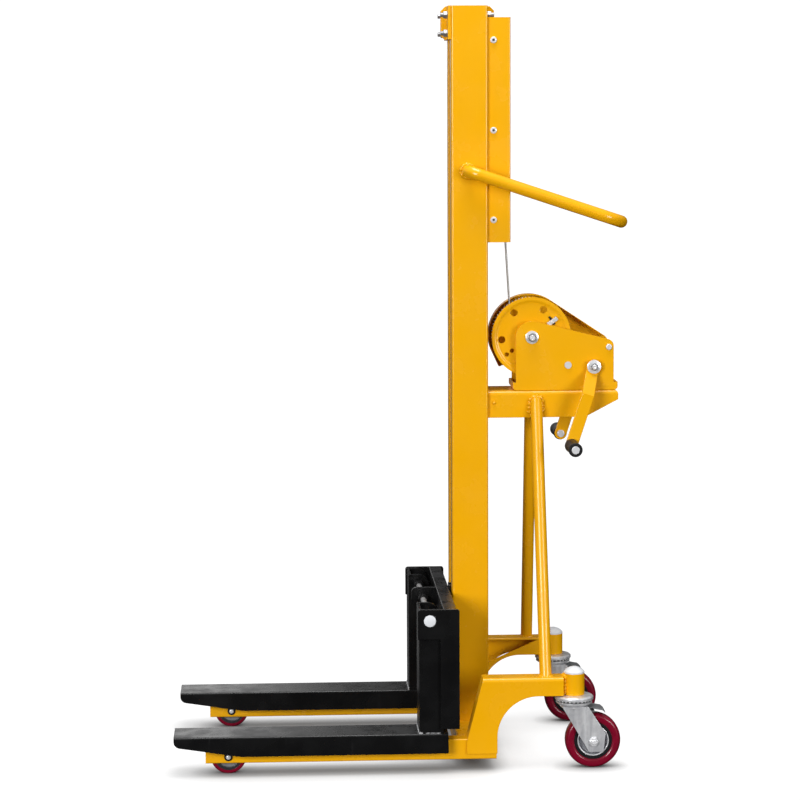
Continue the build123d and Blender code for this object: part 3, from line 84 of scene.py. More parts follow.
# Noises, most with the part of their range that is spread between two values
COAT_DRIFT = {"scale": 5.0, "detail": 3.0, "roughness": 0.55, "low": 0.35, "high": 0.72}
COAT_SPECKS = {"scale": 90.0, "detail": 2.0, "roughness": 0.55, "low": 0.3, "high": 0.75}
COAT_DULL = {"scale": 14.0, "detail": 5.0, "roughness": 0.55, "low": 0.35, "high": 0.75,
             "to_low": -0.05, "to_high": 0.09}
COAT_PEEL = {"scale": 420.0, "detail": 2.0, "roughness": 0.4}
SCRATCHES = {"scale": 60.0, "detail": 3.0, "roughness": 0.7, "low": 0.62, "high": 0.72}
RUBBED_PATCHES = {"scale": 9.0, "detail": 4.0, "roughness": 0.6, "low": 0.5, "high": 0.68}
DUST_PATCHES = {"scale": 28.0, "detail": 6.0, "roughness": 0.65, "low": 0.38, "high": 0.75}
SPANGLE = {"scale": 55.0, "detail": 5.0, "roughness": 0.6, "low": 0.35, "high": 0.7}
# Upright streaks of lighter and darker colour on plated metal: painted reflection
REFLECTION_STREAKS = {"scale": 110.0, "detail": 2.0, "roughness": 0.5, "low": 0.36, "high": 0.64}
DRAWN_LINES = {"scale": 900.0, "detail": 2.0, "roughness": 0.5}
MOULD_CLOUD = {"scale": 35.0, "detail": 4.0, "roughness": 0.55, "low": 0.35, "high": 0.7}
MOULD_GRAIN = {"detail": 3.0, "roughness": 0.6}

DRIFT_SHARE, SPECK_SHARE = 0.75, 0.25
SPANGLE_SHARE, LINE_SHARE, REFLECTION_STREAK_SHARE = 0.35, 0.2, 0.35
SPANGLE_ROUGHNESS = (-0.02, 0.07)
SCRATCH_STRETCH = (1.0, 1.0, 0.06)
REFLECTION_STREAK_STRETCH = (1.0, 1.0, 0.12)
LINE_STRETCH = (1.0, 0.05, 1.0)
DUST_SLOPE = (0.35, 0.95)


def new_group(name, inputs, outputs):
    """Empty shader group with named sockets, and the sockets at its two ends."""
    group = bpy.data.node_groups.new(name, "ShaderNodeTree")
    for way, sockets in (("INPUT", inputs), ("OUTPUT", outputs)):
        for label, kind in sockets.items():
            group.interface.new_socket(name=label, in_out=way, socket_type=kind)
    given = group.nodes.new("NodeGroupInput").outputs
    result = group.nodes.new("NodeGroupOutput").inputs
    return group, given, result


def feed(tree, slot, value):
    """Give a socket a number or a colour, or link another socket to it."""
    if isinstance(value, (int, float, tuple)):
        slot.default_value = value
    else:
        tree.links.new(value, slot)


def noise(tree, vector, scale, detail, roughness):
    """Noise texture on a coordinate, and its value output."""
    texture = tree.nodes.new("ShaderNodeTexNoise")
    for label, value in (("Scale", scale), ("Detail", detail), ("Roughness", roughness)):
        texture.inputs[label].default_value = value
    tree.links.new(vector, texture.inputs["Vector"])
    return texture.outputs["Fac"]


def spread(tree, value, low, high, to_low=0.0, to_high=1.0):
    """Map a value's range to another, held at its ends."""
    node = tree.nodes.new("ShaderNodeMapRange")
    node.clamp = True
    labels = ("Value", "From Min", "From Max", "To Min", "To Max")
    for label, given in zip(labels, (value, low, high, to_low, to_high)):
        feed(tree, node.inputs[label], given)
    return node.outputs["Result"]


def clouds(tree, vector, low, high, to_low=0.0, to_high=1.0, **texture):
    """Noise with part of its range spread between two values."""
    return spread(tree, noise(tree, vector, **texture), low, high, to_low, to_high)


def calc(tree, operation, first, second):
    """One arithmetic step between sockets or numbers."""
    node = tree.nodes.new("ShaderNodeMath")
    node.operation = operation
    for slot, value in zip(node.inputs, (first, second)):
        feed(tree, slot, value)
    return node.outputs["Value"]


def plus(tree, first, second):
    """Sum of two sockets or numbers."""
    return calc(tree, "ADD", first, second)


def times(tree, first, second):
    """Product of two sockets or numbers."""
    return calc(tree, "MULTIPLY", first, second)


def mix_colour(tree, factor, first, second):
    """Mix two colours by a mask."""
    node = tree.nodes.new("ShaderNodeMix")
    node.data_type = "RGBA"
    for label, value in (("Factor", factor), ("A", first), ("B", second)):
        feed(tree, node.inputs[label], value)
    return node.outputs["Result"]


def stretched(tree, vector, scale):
    """Coordinate stretched along the axes."""
    node = tree.nodes.new("ShaderNodeMapping")
    node.inputs["Scale"].default_value = scale
    tree.links.new(vector, node.inputs["Vector"])
    return node.outputs["Vector"]


def object_place(tree):
    """Place on the piece, in metres."""
    return tree.nodes.new("ShaderNodeTexCoord").outputs["Object"]


def coat_group():
    """Sprayed coat: slow drifts of colour, patches of duller gloss and orange peel."""
    group, given, result = new_group(
        "sprayed_coat", {"Color": COLOUR, "Shade": COLOUR, "Drift": NUMBER, "Gloss": NUMBER}, SKIN
    )
    place = object_place(group)
    drift = times(group, clouds(group, place, **COAT_DRIFT), DRIFT_SHARE)
    specks = times(group, clouds(group, place, **COAT_SPECKS), SPECK_SHARE)
    mask = times(group, plus(group, drift, specks), given["Drift"])
    colour = mix_colour(group, mask, given["Color"], given["Shade"])
    group.links.new(colour, result["Color"])
    dull = clouds(group, place, **COAT_DULL)
    group.links.new(plus(group, given["Gloss"], dull), result["Roughness"])
    group.links.new(noise(group, place, **COAT_PEEL), result["Height"])
    return group


def scuff_group():
    """Thin scratches inside rubbed patches, as a mask."""
    group, given, result = new_group("rubbed_marks", {"Amount": NUMBER}, MASK)
    place = object_place(group)
    lines = clouds(group, stretched(group, place, SCRATCH_STRETCH), **SCRATCHES)
    area = clouds(group, place, **RUBBED_PATCHES)
    group.links.new(times(group, times(group, lines, area), given["Amount"]), result["Mask"])
    return group


def dust_group():
    """Thin dust that settles on what faces up, thicker in patches."""
    group, given, result = new_group("settled_dust", {"Amount": NUMBER}, MASK)
    surface = group.nodes.new("ShaderNodeNewGeometry")
    split = group.nodes.new("ShaderNodeSeparateXYZ")
    group.links.new(surface.outputs["Normal"], split.inputs["Vector"])
    upward = spread(group, split.outputs["Z"], *DUST_SLOPE)
    patches = clouds(group, object_place(group), **DUST_PATCHES)
    group.links.new(times(group, times(group, upward, patches), given["Amount"]), result["Mask"])
    return group


def metal_group():
    """Plated metal: cloudy spangle, soft upright streaks of painted reflection and fine drawn lines."""
    group, given, result = new_group(
        "plated_metal", {"Color": COLOUR, "Shade": COLOUR, "Gloss": NUMBER}, SKIN
    )
    place = object_place(group)
    cloud = clouds(group, place, **SPANGLE)
    # Upright streaks that stand in for reflections on bent sheet: painted reflection
    painted_reflections = clouds(group, stretched(group, place, REFLECTION_STREAK_STRETCH), **REFLECTION_STREAKS)
    lines = noise(group, stretched(group, place, LINE_STRETCH), **DRAWN_LINES)
    marks = plus(group, times(group, lines, LINE_SHARE), times(group, painted_reflections, REFLECTION_STREAK_SHARE))
    mask = plus(group, times(group, cloud, SPANGLE_SHARE), marks)
    colour = mix_colour(group, mask, given["Color"], given["Shade"])
    group.links.new(colour, result["Color"])
    rough = spread(group, cloud, 0.0, 1.0, *SPANGLE_ROUGHNESS)
    group.links.new(plus(group, given["Gloss"], rough), result["Roughness"])
    group.links.new(lines, result["Height"])
    return group


COAT = coat_group()
SCUFF = scuff_group()
DUST = dust_group()
METAL = metal_group()


# Finishes

DUST_ROUGHNESS = 0.5
PEEL_BUMP = 0.12
PEEL_DEPTH = 0.0004
LINE_DEPTH = 0.0003
GRAIN_DEPTH = 0.0003
GRAIN_RANGE = (0.3, 0.7)
GRAIN_ROUGHNESS = (-0.05, 0.08)
GLAZE_ROUGHNESS = 0.08


def place_group(tree, group, **values):
    """Outputs of a group node in a material, with its own values."""
    node = tree.nodes.new("ShaderNodeGroup")
    node.node_tree = group
    for label, value in values.items():
        node.inputs[label.title()].default_value = value
    return node.outputs


def new_finish(name):
    """Material with a Principled shader, its tree and the shader's inputs."""
    material = bpy.data.materials.new(name)
    material.use_nodes = True
    tree = material.node_tree
    return material, tree, tree.nodes["Principled BSDF"].inputs


def add_bump(tree, surface, height, strength, distance):
    """Feed a height into the shader's normal."""
    bump = tree.nodes.new("ShaderNodeBump")
    bump.inputs["Strength"].default_value = strength
    bump.inputs["Distance"].default_value = distance
    tree.links.new(height, bump.inputs["Height"])
    tree.links.new(bump.outputs["Normal"], surface["Normal"])


def painted(name, colour, shade, *, worn, dust, gloss, drift, scuffs, film, shine):
    """Painted finish with drifts, scuffs and a little dust."""
    material, tree, surface = new_finish(name)
    coat = place_group(tree, COAT, color=colour, shade=shade, drift=drift, gloss=gloss)
    marks = place_group(tree, SCUFF, amount=scuffs)["Mask"]
    settled = place_group(tree, DUST, amount=film)["Mask"]
    rubbed = mix_colour(tree, marks, coat["Color"], worn)
    tree.links.new(mix_colour(tree, settled, rubbed, dust), surface["Base Color"])
    rough = plus(tree, coat["Roughness"], times(tree, settled, DUST_ROUGHNESS))
    tree.links.new(rough, surface["Roughness"])
    add_bump(tree, surface, coat["Height"], PEEL_BUMP, PEEL_DEPTH)
    surface["Specular IOR Level"].default_value = shine
    return material


def plated(name, colour, shade, *, gloss, metal=1.0, lines=0.05):
    """Bare or plated metal."""
    material, tree, surface = new_finish(name)
    skin = place_group(tree, METAL, color=colour, shade=shade, gloss=gloss)
    tree.links.new(skin["Color"], surface["Base Color"])
    tree.links.new(skin["Roughness"], surface["Roughness"])
    add_bump(tree, surface, skin["Height"], lines, LINE_DEPTH)
    surface["Metallic"].default_value = metal
    return material


def moulded(name, colour, shade, *, gloss, grain, bump=0.1, glaze=0.0, shine=0.5):
    """Moulded plastic or rubber with a fine grain."""
    material, tree, surface = new_finish(name)
    place = object_place(tree)
    cloud = clouds(tree, place, **MOULD_CLOUD)
    tree.links.new(mix_colour(tree, cloud, colour, shade), surface["Base Color"])
    grit = noise(tree, place, grain, **MOULD_GRAIN)
    low, high = (gloss + change for change in GRAIN_ROUGHNESS)
    tree.links.new(spread(tree, grit, *GRAIN_RANGE, low, high), surface["Roughness"])
    add_bump(tree, surface, grit, bump, GRAIN_DEPTH)
    surface["Coat Weight"].default_value = glaze
    surface["Coat Roughness"].default_value = GLAZE_ROUGHNESS
    surface["Specular IOR Level"].default_value = shine
    return material


# Each finish has its colour first and then the shade that it drifts to
YELLOW_PAINT = painted(
    "yellow_paint", (0.87, 0.420, 0.0025, 1), (0.79, 0.365, 0.002, 1), worn=(0.93, 0.52, 0.02, 1),
    dust=(0.90, 0.60, 0.15, 1), gloss=0.24, drift=0.35, scuffs=0.2, film=0.06, shine=0.46,
)
BLACK_PAINT = painted(
    "black_paint", (0.0036, 0.0036, 0.0038, 1), (0.0052, 0.0052, 0.0055, 1), worn=(0.03, 0.03, 0.032, 1),
    dust=(0.10, 0.10, 0.106, 1), gloss=0.26, drift=0.6, scuffs=0.35, film=0.15, shine=0.42,
)
ZINC_PLATE = plated(
    "zinc_plate", (0.98, 0.985, 1.0, 1), (0.40, 0.41, 0.44, 1), gloss=0.30, metal=0.5
)
BRIGHT_STEEL = plated(
    "bright_steel", (0.84, 0.84, 0.84, 1), (0.68, 0.68, 0.69, 1), gloss=0.26, metal=0.6, lines=0.1
)
WIRE_ROPE = plated(
    "wire_rope", (0.56, 0.56, 0.55, 1), (0.34, 0.34, 0.33, 1), gloss=0.36, metal=0.8
)
PULLEY_IRON = plated("pulley_iron", (0.16, 0.155, 0.15, 1), (0.09, 0.088, 0.085, 1), gloss=0.5)
WHITE_PLASTIC = moulded(
    "white_plastic", (0.80, 0.82, 0.85, 1), (0.74, 0.76, 0.79, 1), gloss=0.38, grain=500.0
)
RED_TREAD = moulded(
    "red_tread", (0.205, 0.0018, 0.019, 1), (0.165, 0.0015, 0.015, 1), gloss=0.3, grain=260.0,
    bump=0.04, glaze=0.5, shine=0.2,
)
BLACK_GRIP = moulded(
    "black_grip", (0.009, 0.009, 0.0095, 1), (0.014, 0.014, 0.015, 1), gloss=0.42, grain=700.0, shine=0.25
)
WHEEL_CORE = plated(
    "wheel_core", (0.86, 0.87, 0.90, 1), (0.66, 0.67, 0.70, 1), gloss=0.2, metal=0.85
)
BLACK_RIM = moulded(
    "black_rim", (0.010, 0.010, 0.011, 1), (0.016, 0.016, 0.017, 1), gloss=0.36, grain=400.0, shine=0.25
)
DARK_CORE = plated(
    "dark_core", (0.13, 0.135, 0.15, 1), (0.06, 0.062, 0.07, 1), gloss=0.3, metal=0.85
)
CAP_PLASTIC = moulded(
    "cap_plastic", (0.78, 0.80, 0.83, 1), (0.72, 0.74, 0.77, 1), gloss=0.4, grain=500.0
)
FASTENER = plated(
    "new_fastener", (0.96, 0.965, 0.98, 1), (0.74, 0.75, 0.78, 1), gloss=0.2, metal=0.32
)
# Darker zinc for pedals, bolts and the load wheels' webs; on the winch nuts it is painted shade
PEDAL_ZINC = plated(
    "pedal_zinc", (0.46, 0.47, 0.49, 1), (0.22, 0.225, 0.24, 1), gloss=0.3, metal=0.6
)
BARE_WELD = plated(
    "bare_weld", (0.66, 0.66, 0.67, 1), (0.06, 0.06, 0.062, 1), gloss=0.34, metal=0.6
)

# The finish that each material slot shows unless a piece asks for another
FINISH = {
    "yellow_paint": YELLOW_PAINT, "black_paint": BLACK_PAINT, "zinc_plate": ZINC_PLATE,
    "bright_steel": BRIGHT_STEEL, "wire_rope": WIRE_ROPE, "pulley_iron": PULLEY_IRON,
    "white_plastic": WHITE_PLASTIC, "red_tread": RED_TREAD, "black_grip": BLACK_GRIP,
    "wheel_core": WHEEL_CORE,
}


# Ways of making pieces

# Angles in degrees, up to which faces shade as one
SHEET_ANGLE = 50.0
TURNED_ANGLE = 40.0
WELD_ANGLE = 70.0
ROPE_ANGLE = 80.0
BALL_ANGLE = 32.0

MERGE = 0.002 * MM
SPIN_MERGE = 0.005 * MM
FLAT_ANGLE = radians(0.3)
SHARP_ANGLE = radians(38)
ROUND_PROFILE = 0.5
ROUND_STEPS, ROD_STEPS, PIN_STEPS = 64, 48, 32


def sheet_normals(bm, angle):
    """Corner normals led by the larger faces, so that sheets stay flat beside their rounded edges."""
    bm.normal_update()
    limit = cos(radians(angle))
    pull = {face: face.normal * (face.calc_area() / MM**2) ** 2 for face in bm.faces}
    normals = []
    for face in bm.faces:
        for corner in face.loops:
            others = corner.vert.link_faces
            near = [pull[other] for other in others if other.normal.dot(face.normal) > limit]
            normals.append(sum(near, Vector()).normalized() if near else face.normal.copy())
    return normals


def place_piece(name, bm, finish, body, smooth, nodes=(), sheet=False):
    """Turn a bmesh into a piece that rides on a body and may stand for CAD nodes."""
    mesh = bpy.data.meshes.new(name)
    normals = sheet_normals(bm, smooth) if sheet else None
    bm.to_mesh(mesh)
    bm.free()
    mesh.polygons.foreach_set("use_smooth", [True] * len(mesh.polygons))
    if sheet:
        mesh.normals_split_custom_set(normals)
    else:
        mesh.set_sharp_from_angle(angle=radians(smooth))
    mesh.materials.append(FINISH[finish] if isinstance(finish, str) else finish)
    piece = bpy.data.objects.new(name, mesh)
    bpy.context.scene.collection.objects.link(piece)
    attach(piece, body)
    if nodes:
        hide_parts(*nodes)
    return piece


def loose_parts(bm):
    """Separate shells of a mesh, as lists of vertices."""
    waiting = set(bm.verts)
    parts = []
    for first in bm.verts:
        if first not in waiting:
            continue
        waiting.remove(first)
        reached = [first]
        for vert in reached:
            for edge in vert.link_edges:
                other = edge.other_vert(vert)
                if other in waiting:
                    waiting.remove(other)
                    reached.append(other)
        parts.append(reached)
    return parts


def middle_of(verts):
    """Middle of the box round some vertices."""
    low = Vector(min(v.co[i] for v in verts) for i in range(3))
    high = Vector(max(v.co[i] for v in verts) for i in range(3))
    return (low + high) / 2


def closed_shells(bm):
    """Faces of each closed shell, in the order in which the CAD mesh lists them."""
    bm.verts.index_update()
    same = bmesh.ops.find_doubles(bm, verts=bm.verts, dist=MERGE)["targetmap"]
    shells, shell, waiting = [], [], set()
    for face in bm.faces:
        shell.append(face)
        ring = [same.get(v, v).index for v in face.verts]
        for a, b in zip(ring, ring[1:] + ring[:1]):
            if (b, a) in waiting:
                waiting.remove((b, a))
            elif a != b:
                waiting.add((a, b))
        if not waiting:
            shells.append(shell)
            shell = []
    return shells + [shell] if shell else shells


def cad_copy(node):
    """Copy of a CAD node's mesh, merged shell by shell, with its flat faces joined up."""
    bm = bmesh.new()
    bm.from_mesh(frame["nodes"][node].data)
    # Merging in a fixed order gives the same mesh in each run
    shells = [list(dict.fromkeys(v for face in shell for v in face.verts)) for shell in closed_shells(bm)]
    for verts in shells:
        bmesh.ops.remove_doubles(bm, verts=verts[::-1], dist=MERGE)
    bmesh.ops.dissolve_limit(bm, angle_limit=FLAT_ANGLE, verts=bm.verts, edges=bm.edges)
    return bm


def softened(node, edge, finish=None, keep=None, seam=None, name=None):
    """Copy of a CAD node, or of the shells that keep picks, with its sharp edges rounded.

    The edge is a width in millimetres and a number of steps. Where seam says so, an edge stays sharp.
    """
    width, steps = edge
    bm = cad_copy(node)
    if keep:
        unwanted = [v for part in loose_parts(bm) if not keep(middle_of(part)) for v in part]
        bmesh.ops.delete(bm, geom=unwanted, context="VERTS")
    sharp = [e for e in bm.edges if len(e.link_faces) == 2 and e.calc_face_angle(0.0) > SHARP_ANGLE]
    if seam:
        sharp = [e for e in sharp if not seam((e.verts[0].co + e.verts[1].co) / 2)]
    bmesh.ops.bevel(bm, geom=sharp, offset=width * MM, offset_type="OFFSET", segments=steps,
                    profile=ROUND_PROFILE, affect="EDGES", clamp_overlap=True, material=-1)
    place_piece(name or node + "_piece", bm, finish or SLOT_OF[node], BODY_OF[node], SHEET_ANGLE,
                (node,), True)


def arc(centre, reach, start, end, steps=8):
    """Profile points on part of an ellipse, by radius and place along the axis."""
    turns = [radians(start + (end - start) * step / steps) for step in range(steps + 1)]
    return [(centre[0] + reach[0] * cos(turn), centre[1] + reach[1] * sin(turn)) for turn in turns]


def both_ways(points):
    """Half profile and its mirror image about the middle of the piece."""
    return [*points, *[(r, -a) for r, a in reversed(points)]]


def facing(profile, way):
    """Profile that faces one way or the other along its axis."""
    return [(r, way * a) for r, a in profile]


def turned_piece(name, profile, centre, finish, body, nodes=(), steps=ROUND_STEPS, axis=ACROSS):
    """Round piece from a closed profile of (radius, along) points in millimetres about a point."""
    level = centre.dot(axis)
    base = centre - axis * level
    bm = bmesh.new()
    ring = [(r * MM, level + a * MM) for r, a in [*profile, profile[0]]]
    corners = [bm.verts.new(base + ALONG * r + axis * a) for r, a in ring]
    edges = [bm.edges.new(pair) for pair in zip(corners, corners[1:])]
    bmesh.ops.spin(bm, geom=corners + edges, cent=base, axis=axis, angle=2 * pi, steps=steps, use_merge=True)
    bmesh.ops.remove_doubles(bm, verts=bm.verts, dist=SPIN_MERGE)
    bmesh.ops.recalc_face_normals(bm, faces=bm.faces)
    place_piece(name, bm, finish, body, TURNED_ANGLE, nodes)


def ring_points(centre, radius, axis, start=0.0, end=360.0, count=36):
    """Points round an axis, by a radius in millimetres and angles in degrees."""
    second = UP if axis == ACROSS else ACROSS
    turns = [radians(start + (end - start) * step / count) for step in range(count + 1)]
    return [centre + (ALONG * cos(turn) + second * sin(turn)) * radius * MM for turn in turns]


def new_curve(name, radius=0.0, resolution=0):
    """Empty curve with a round section."""
    curve = bpy.data.curves.new(name, "CURVE")
    curve.dimensions = "3D"
    curve.bevel_depth = radius
    curve.bevel_resolution = resolution
    curve.use_fill_caps = True
    return curve


def add_spline(curve, kind, points):
    """Spline with its knots at some points."""
    spline = curve.splines.new(kind)
    spline.points.add(len(points) - 1)
    for knot, point in zip(spline.points, points):
        knot.co = (*point, 1.0)
    return spline


def curve_mesh(curve):
    """Mesh of a curve, as a bmesh, in the curve's place."""
    holder = bpy.data.objects.new(curve.name, curve)
    bpy.context.scene.collection.objects.link(holder)
    bpy.context.view_layer.update()
    shown = holder.evaluated_get(bpy.context.evaluated_depsgraph_get())
    mesh = bpy.data.meshes.new_from_object(shown)
    bm = bmesh.new()
    bm.from_mesh(mesh)
    bpy.data.objects.remove(holder)
    bpy.data.meshes.remove(mesh)
    bpy.data.curves.remove(curve)
    return bm


def even_steps(line, step):
    """Points a fixed step apart along a line."""
    points, travelled, wanted = [line[0]], 0.0, step
    for a, b in zip(line, line[1:]):
        length = (b - a).length
        while length > 0 and travelled + length >= wanted:
            points.append(a.lerp(b, (wanted - travelled) / length))
            wanted += step
        travelled += length
    return points


# Rope

ROPE_RADIUS = 2.5 * MM
STRAND_RADIUS = 0.92 * MM
STRAND_RESOLUTION = 1
STRANDS = 6
ROPE_LAY = 34 * MM
ROPE_STEP = 2.4 * MM
ROUTE_ORDER = 3
ROUTE_RESOLUTION = 24
DRUM = PIVOT["drum_spin"]
DRUM_PITCH = 42.5 * MM
WINDING_PITCH = 5.6 * MM
WINDING_QUARTERS = 17
ROUND_POINTS = 16
CONTROL_REACH = 1 / cos(pi / ROUND_POINTS)
PULLEY = PIVOT["pulley_spin"]
PULLEY_PITCH = 31 * MM
PULLEY_POINTS = 8
ROPE_RUN = 30 * MM


def rope_line(points):
    """Points read from the smooth spline of a rope's route."""
    curve = new_curve("route")
    spline = add_spline(curve, "NURBS", points)
    spline.order_u = ROUTE_ORDER
    spline.use_endpoint_u = True
    spline.resolution_u = ROUTE_RESOLUTION
    bm = curve_mesh(curve)
    line = [v.co.copy() for v in bm.verts]
    bm.free()
    return line


def laid_rope(name, points, body, node, finish="wire_rope"):
    """Rope of twisted strands round a core, along a route."""
    line = even_steps(rope_line(points), ROPE_STEP)
    side = ACROSS
    frames = []
    for a, b in zip(line, line[1:]):
        way = (b - a).normalized()
        side = (side - way * side.dot(way)).normalized()
        frames.append((a, side, way.cross(side)))
    curve = new_curve(name, STRAND_RADIUS, STRAND_RESOLUTION)
    for strand in range(STRANDS + 1):
        reach = ROPE_RADIUS - STRAND_RADIUS if strand < STRANDS else 0.0
        knots = []
        for number, (point, first, second) in enumerate(frames):
            turn = 2 * pi * (number * ROPE_STEP / ROPE_LAY + strand / STRANDS)
            knots.append(point + (first * cos(turn) + second * sin(turn)) * reach)
        add_spline(curve, "POLY", knots)
    return place_piece(name, curve_mesh(curve), finish, body, ROPE_ANGLE, (node,))


def winding_rope():
    """Turns of rope on the drum, from its clamp flange to the point where it leaves."""
    count = WINDING_QUARTERS * ROUND_POINTS // 4
    reach = DRUM_PITCH * CONTROL_REACH
    points = []
    for step in range(count + 1):
        turn = -(count - step) * 2 * pi / ROUND_POINTS
        y = WINDING_PITCH - WINDING_PITCH * turn / (2 * pi)
        points.append(Vector((DRUM.x + reach * cos(turn), y, DRUM.z + reach * sin(turn))))
    laid_rope("rope_turns", points, "drum", "rope_winding")


def rising_rope():
    """Rope from the drum up to the pulley and over it."""
    dx, dz = PULLEY.x - DRUM.x, PULLEY.z - DRUM.z
    lean = atan2(dx, dz) - asin((DRUM_PITCH + PULLEY_PITCH) / hypot(dx, dz))
    side = Vector((cos(lean), 0, -sin(lean)))
    way = Vector((sin(lean), 0, cos(lean)))
    low = on_middle(DRUM) + side * DRUM_PITCH
    high = on_middle(PULLEY) - side * PULLEY_PITCH
    points = [low, low + way * ROPE_RUN, high - way * ROPE_RUN]
    sweep = pi - lean
    reach = PULLEY_PITCH / cos(sweep / PULLEY_POINTS / 2)
    for step in range(PULLEY_POINTS):
        turn = pi - lean - sweep * (step + 0.5) / PULLEY_POINTS
        points.append(Vector((PULLEY.x + reach * cos(turn), 0, PULLEY.z + reach * sin(turn))))
    points.append(Vector((PULLEY.x + PULLEY_PITCH, 0, PULLEY.z)))
    laid_rope("rope_rise", points, "chassis", "lift_rope")


def front_rope():
    """Rope from the pulley down to the carriage, laid where the CAD part hangs; in the machine it shortens as the
    carriage rises.
    """
    low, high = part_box("rope_front_fall")
    x = (low.x + high.x) / 2
    top = Vector((x, 0, high.z))
    points = [top, Vector((x, 0, (low.z + high.z) / 2)), Vector((x, 0, low.z))]
    piece = laid_rope("rope_fall", points, "chassis", "rope_front_fall")
    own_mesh(piece)


# Rounded edges, as a width in millimetres and a number of steps

FINE_EDGE = (0.35, 1)
CLAMP_EDGE = (0.3, 1)
PEDAL_EDGE = (0.6, 2)
BOLT_EDGE = (0.8, 2)
YOKE_EDGE = (0.9, 2)
FORK_EDGE = (1.0, 2)
PLATE_STEPS = 2


# Rope clamp on the drum's flange

ROPE_END_NEAR = 0.3 * MM


def rope_clamp():
    """Plated saddle with its two screws, and the rope's cut end beneath it."""
    bm = cad_copy("rope_clamp")
    stub = min(loose_parts(bm), key=lambda part: len({f for v in part for f in v.link_faces}))
    caps = sorted({f for v in stub for f in v.link_faces}, key=lambda f: f.calc_area())[-2:]
    end, start = sorted((cap.calc_center_median() for cap in caps), key=lambda place: place.z)
    bm.free()
    middle = start.lerp(end, 0.5)
    laid_rope("rope_end", [start, middle, end], "drum", "rope_clamp", BLACK_RIM)
    softened("rope_clamp", CLAMP_EDGE, FASTENER, keep=lambda place: (place - middle).length > ROPE_END_NEAR)


# Nuts on the winch shafts

PLATE_FACE = 54.0
HUB_FACE = 66.0
AXLE_ROD_RADIUS = 10
GRIP_REACH = 50 * MM
DRUM_NUT = {"washer": 15, "flats": 19, "height": 9, "stub": 6.5, "tail": 3}
CRANK_NUT = {"washer": 16, "flats": 16, "height": 7, "stub": 5.5, "tail": 2}
NUT_EDGE = 1.1
WASHER_THICKNESS = 3.0
WASHER_EDGE, WASHER_CORNER = 1, 0.3
STUB_EDGE, STUB_SINK = 1, 1
CENTRE_HOLE, CENTRE_DEPTH = 2.8, 2.6


def nut_stack(name, centre, face, way, body, node, washer, flats, height, stub, tail):
    """Washer, chamfered nut and centre-drilled shaft end that stand on a face."""
    seat = face + WASHER_THICKNESS
    top = seat + height
    end = top + tail
    ring = [(0, face), (washer, face), (washer, seat - WASHER_EDGE),
            (washer - WASHER_CORNER, seat - WASHER_CORNER), (washer - WASHER_EDGE, seat), (0, seat)]
    point = [(0, top - STUB_SINK), (stub, top - STUB_SINK), (stub, end - STUB_EDGE), (stub - STUB_EDGE, end),
             (CENTRE_HOLE, end), (0, end - CENTRE_DEPTH)]
    for label, profile in (("washer", ring), ("stub", point)):
        turned_piece(f"{name}_{label}", facing(profile, way), centre, FASTENER, body, (node,))
    # The nut takes a darker zinc than the washer and shaft end beside it: painted shade round the nut
    nut = bmesh.new()
    place = Vector((centre.x, way * (seat + height / 2) * MM, centre.z))
    radius = flats / 3**0.5 * MM
    bmesh.ops.create_cone(nut, cap_ends=True, segments=6, radius1=radius, radius2=radius, depth=height * MM,
                          matrix=Matrix.Translation(place) @ Matrix.Rotation(pi / 2, 4, "X"))
    bmesh.ops.bevel(nut, geom=nut.edges[:], offset=NUT_EDGE * MM, segments=2, profile=ROUND_PROFILE,
                    affect="EDGES")
    place_piece(f"{name}_nut", nut, PEDAL_ZINC, body, SHEET_ANGLE, (node,), True)


def winch_nuts():
    """The drum's axle with its nuts, the nuts of the crank's hubs and the bolts through the grips."""
    crank = PIVOT["crank_spin"]
    drum_centre, crank_centre = on_middle(DRUM), on_middle(crank)
    rod = both_ways([(0, -PLATE_FACE), (AXLE_ROD_RADIUS, -PLATE_FACE)])
    turned_piece("drum_axle_rod", rod, drum_centre, "zinc_plate", "chassis", ("drum_axle",), PIN_STEPS)
    for side, way in SIDES:
        nut_stack(f"drum_axle_{side}", drum_centre, PLATE_FACE, way, "chassis", "drum_axle", **DRUM_NUT)
        nut_stack(f"crank_hub_{side}", crank_centre, HUB_FACE, way, BODY_OF["crank_bolts"], "crank_bolts",
                  **CRANK_NUT)
    softened("crank_bolts", BOLT_EDGE, FASTENER, name="grip_bolts",
             keep=lambda place: hypot(place.x - crank.x, place.z - crank.z) > GRIP_REACH)


# Screws of the rope guard

SCREW_HEAD = (
    (0, 51), (3, 51), (3, 60), (7.5, 60), (7.5, 62), (7.1, 63.1), (6.6, 63.7), (5.8, 64), (3.0, 64),
    (2.7, 61.8), (0, 61.8),
)
# Dark disc at the bottom of each drive socket: painted shade in the recess
SCREW_SOCKET_SHADE = ((0, 61.9), (2.6, 61.9), (2.6, 62.3), (0, 62.3))


def guard_screws():
    """Button-head screws, each with a dark disc in its drive socket as painted shade."""
    bm = cad_copy("guard_screws")
    places = sorted((middle_of(part) for part in loose_parts(bm)), key=lambda place: (place.y > 0, place.z))
    bm.free()
    for number, place in enumerate(places, 1):
        way = 1 if place.y > 0 else -1
        for label, profile, finish in (("screw", SCREW_HEAD, FASTENER), ("socket", SCREW_SOCKET_SHADE, DARK_CORE)):
            turned_piece(f"guard_{label}_{number}", facing(profile, way), on_middle(place), finish, "chassis",
                         ("guard_screws",), PIN_STEPS)


# Casters

WHEEL_RADIUS = 62.5
WHEEL_HALF = 17.5
CROWN_HALF = 7.0
SHOULDER = 8.5
TYRE_INNER = 43.0
RIM_HALF = 15.0
RIM_INNER = 35.5
RIM_GROOVE = (TYRE_INNER + RIM_INNER) / 2
GROOVE_DEPTH = 0.9
AXLE_BORE = 5.05
HUB_HALF = 20.7

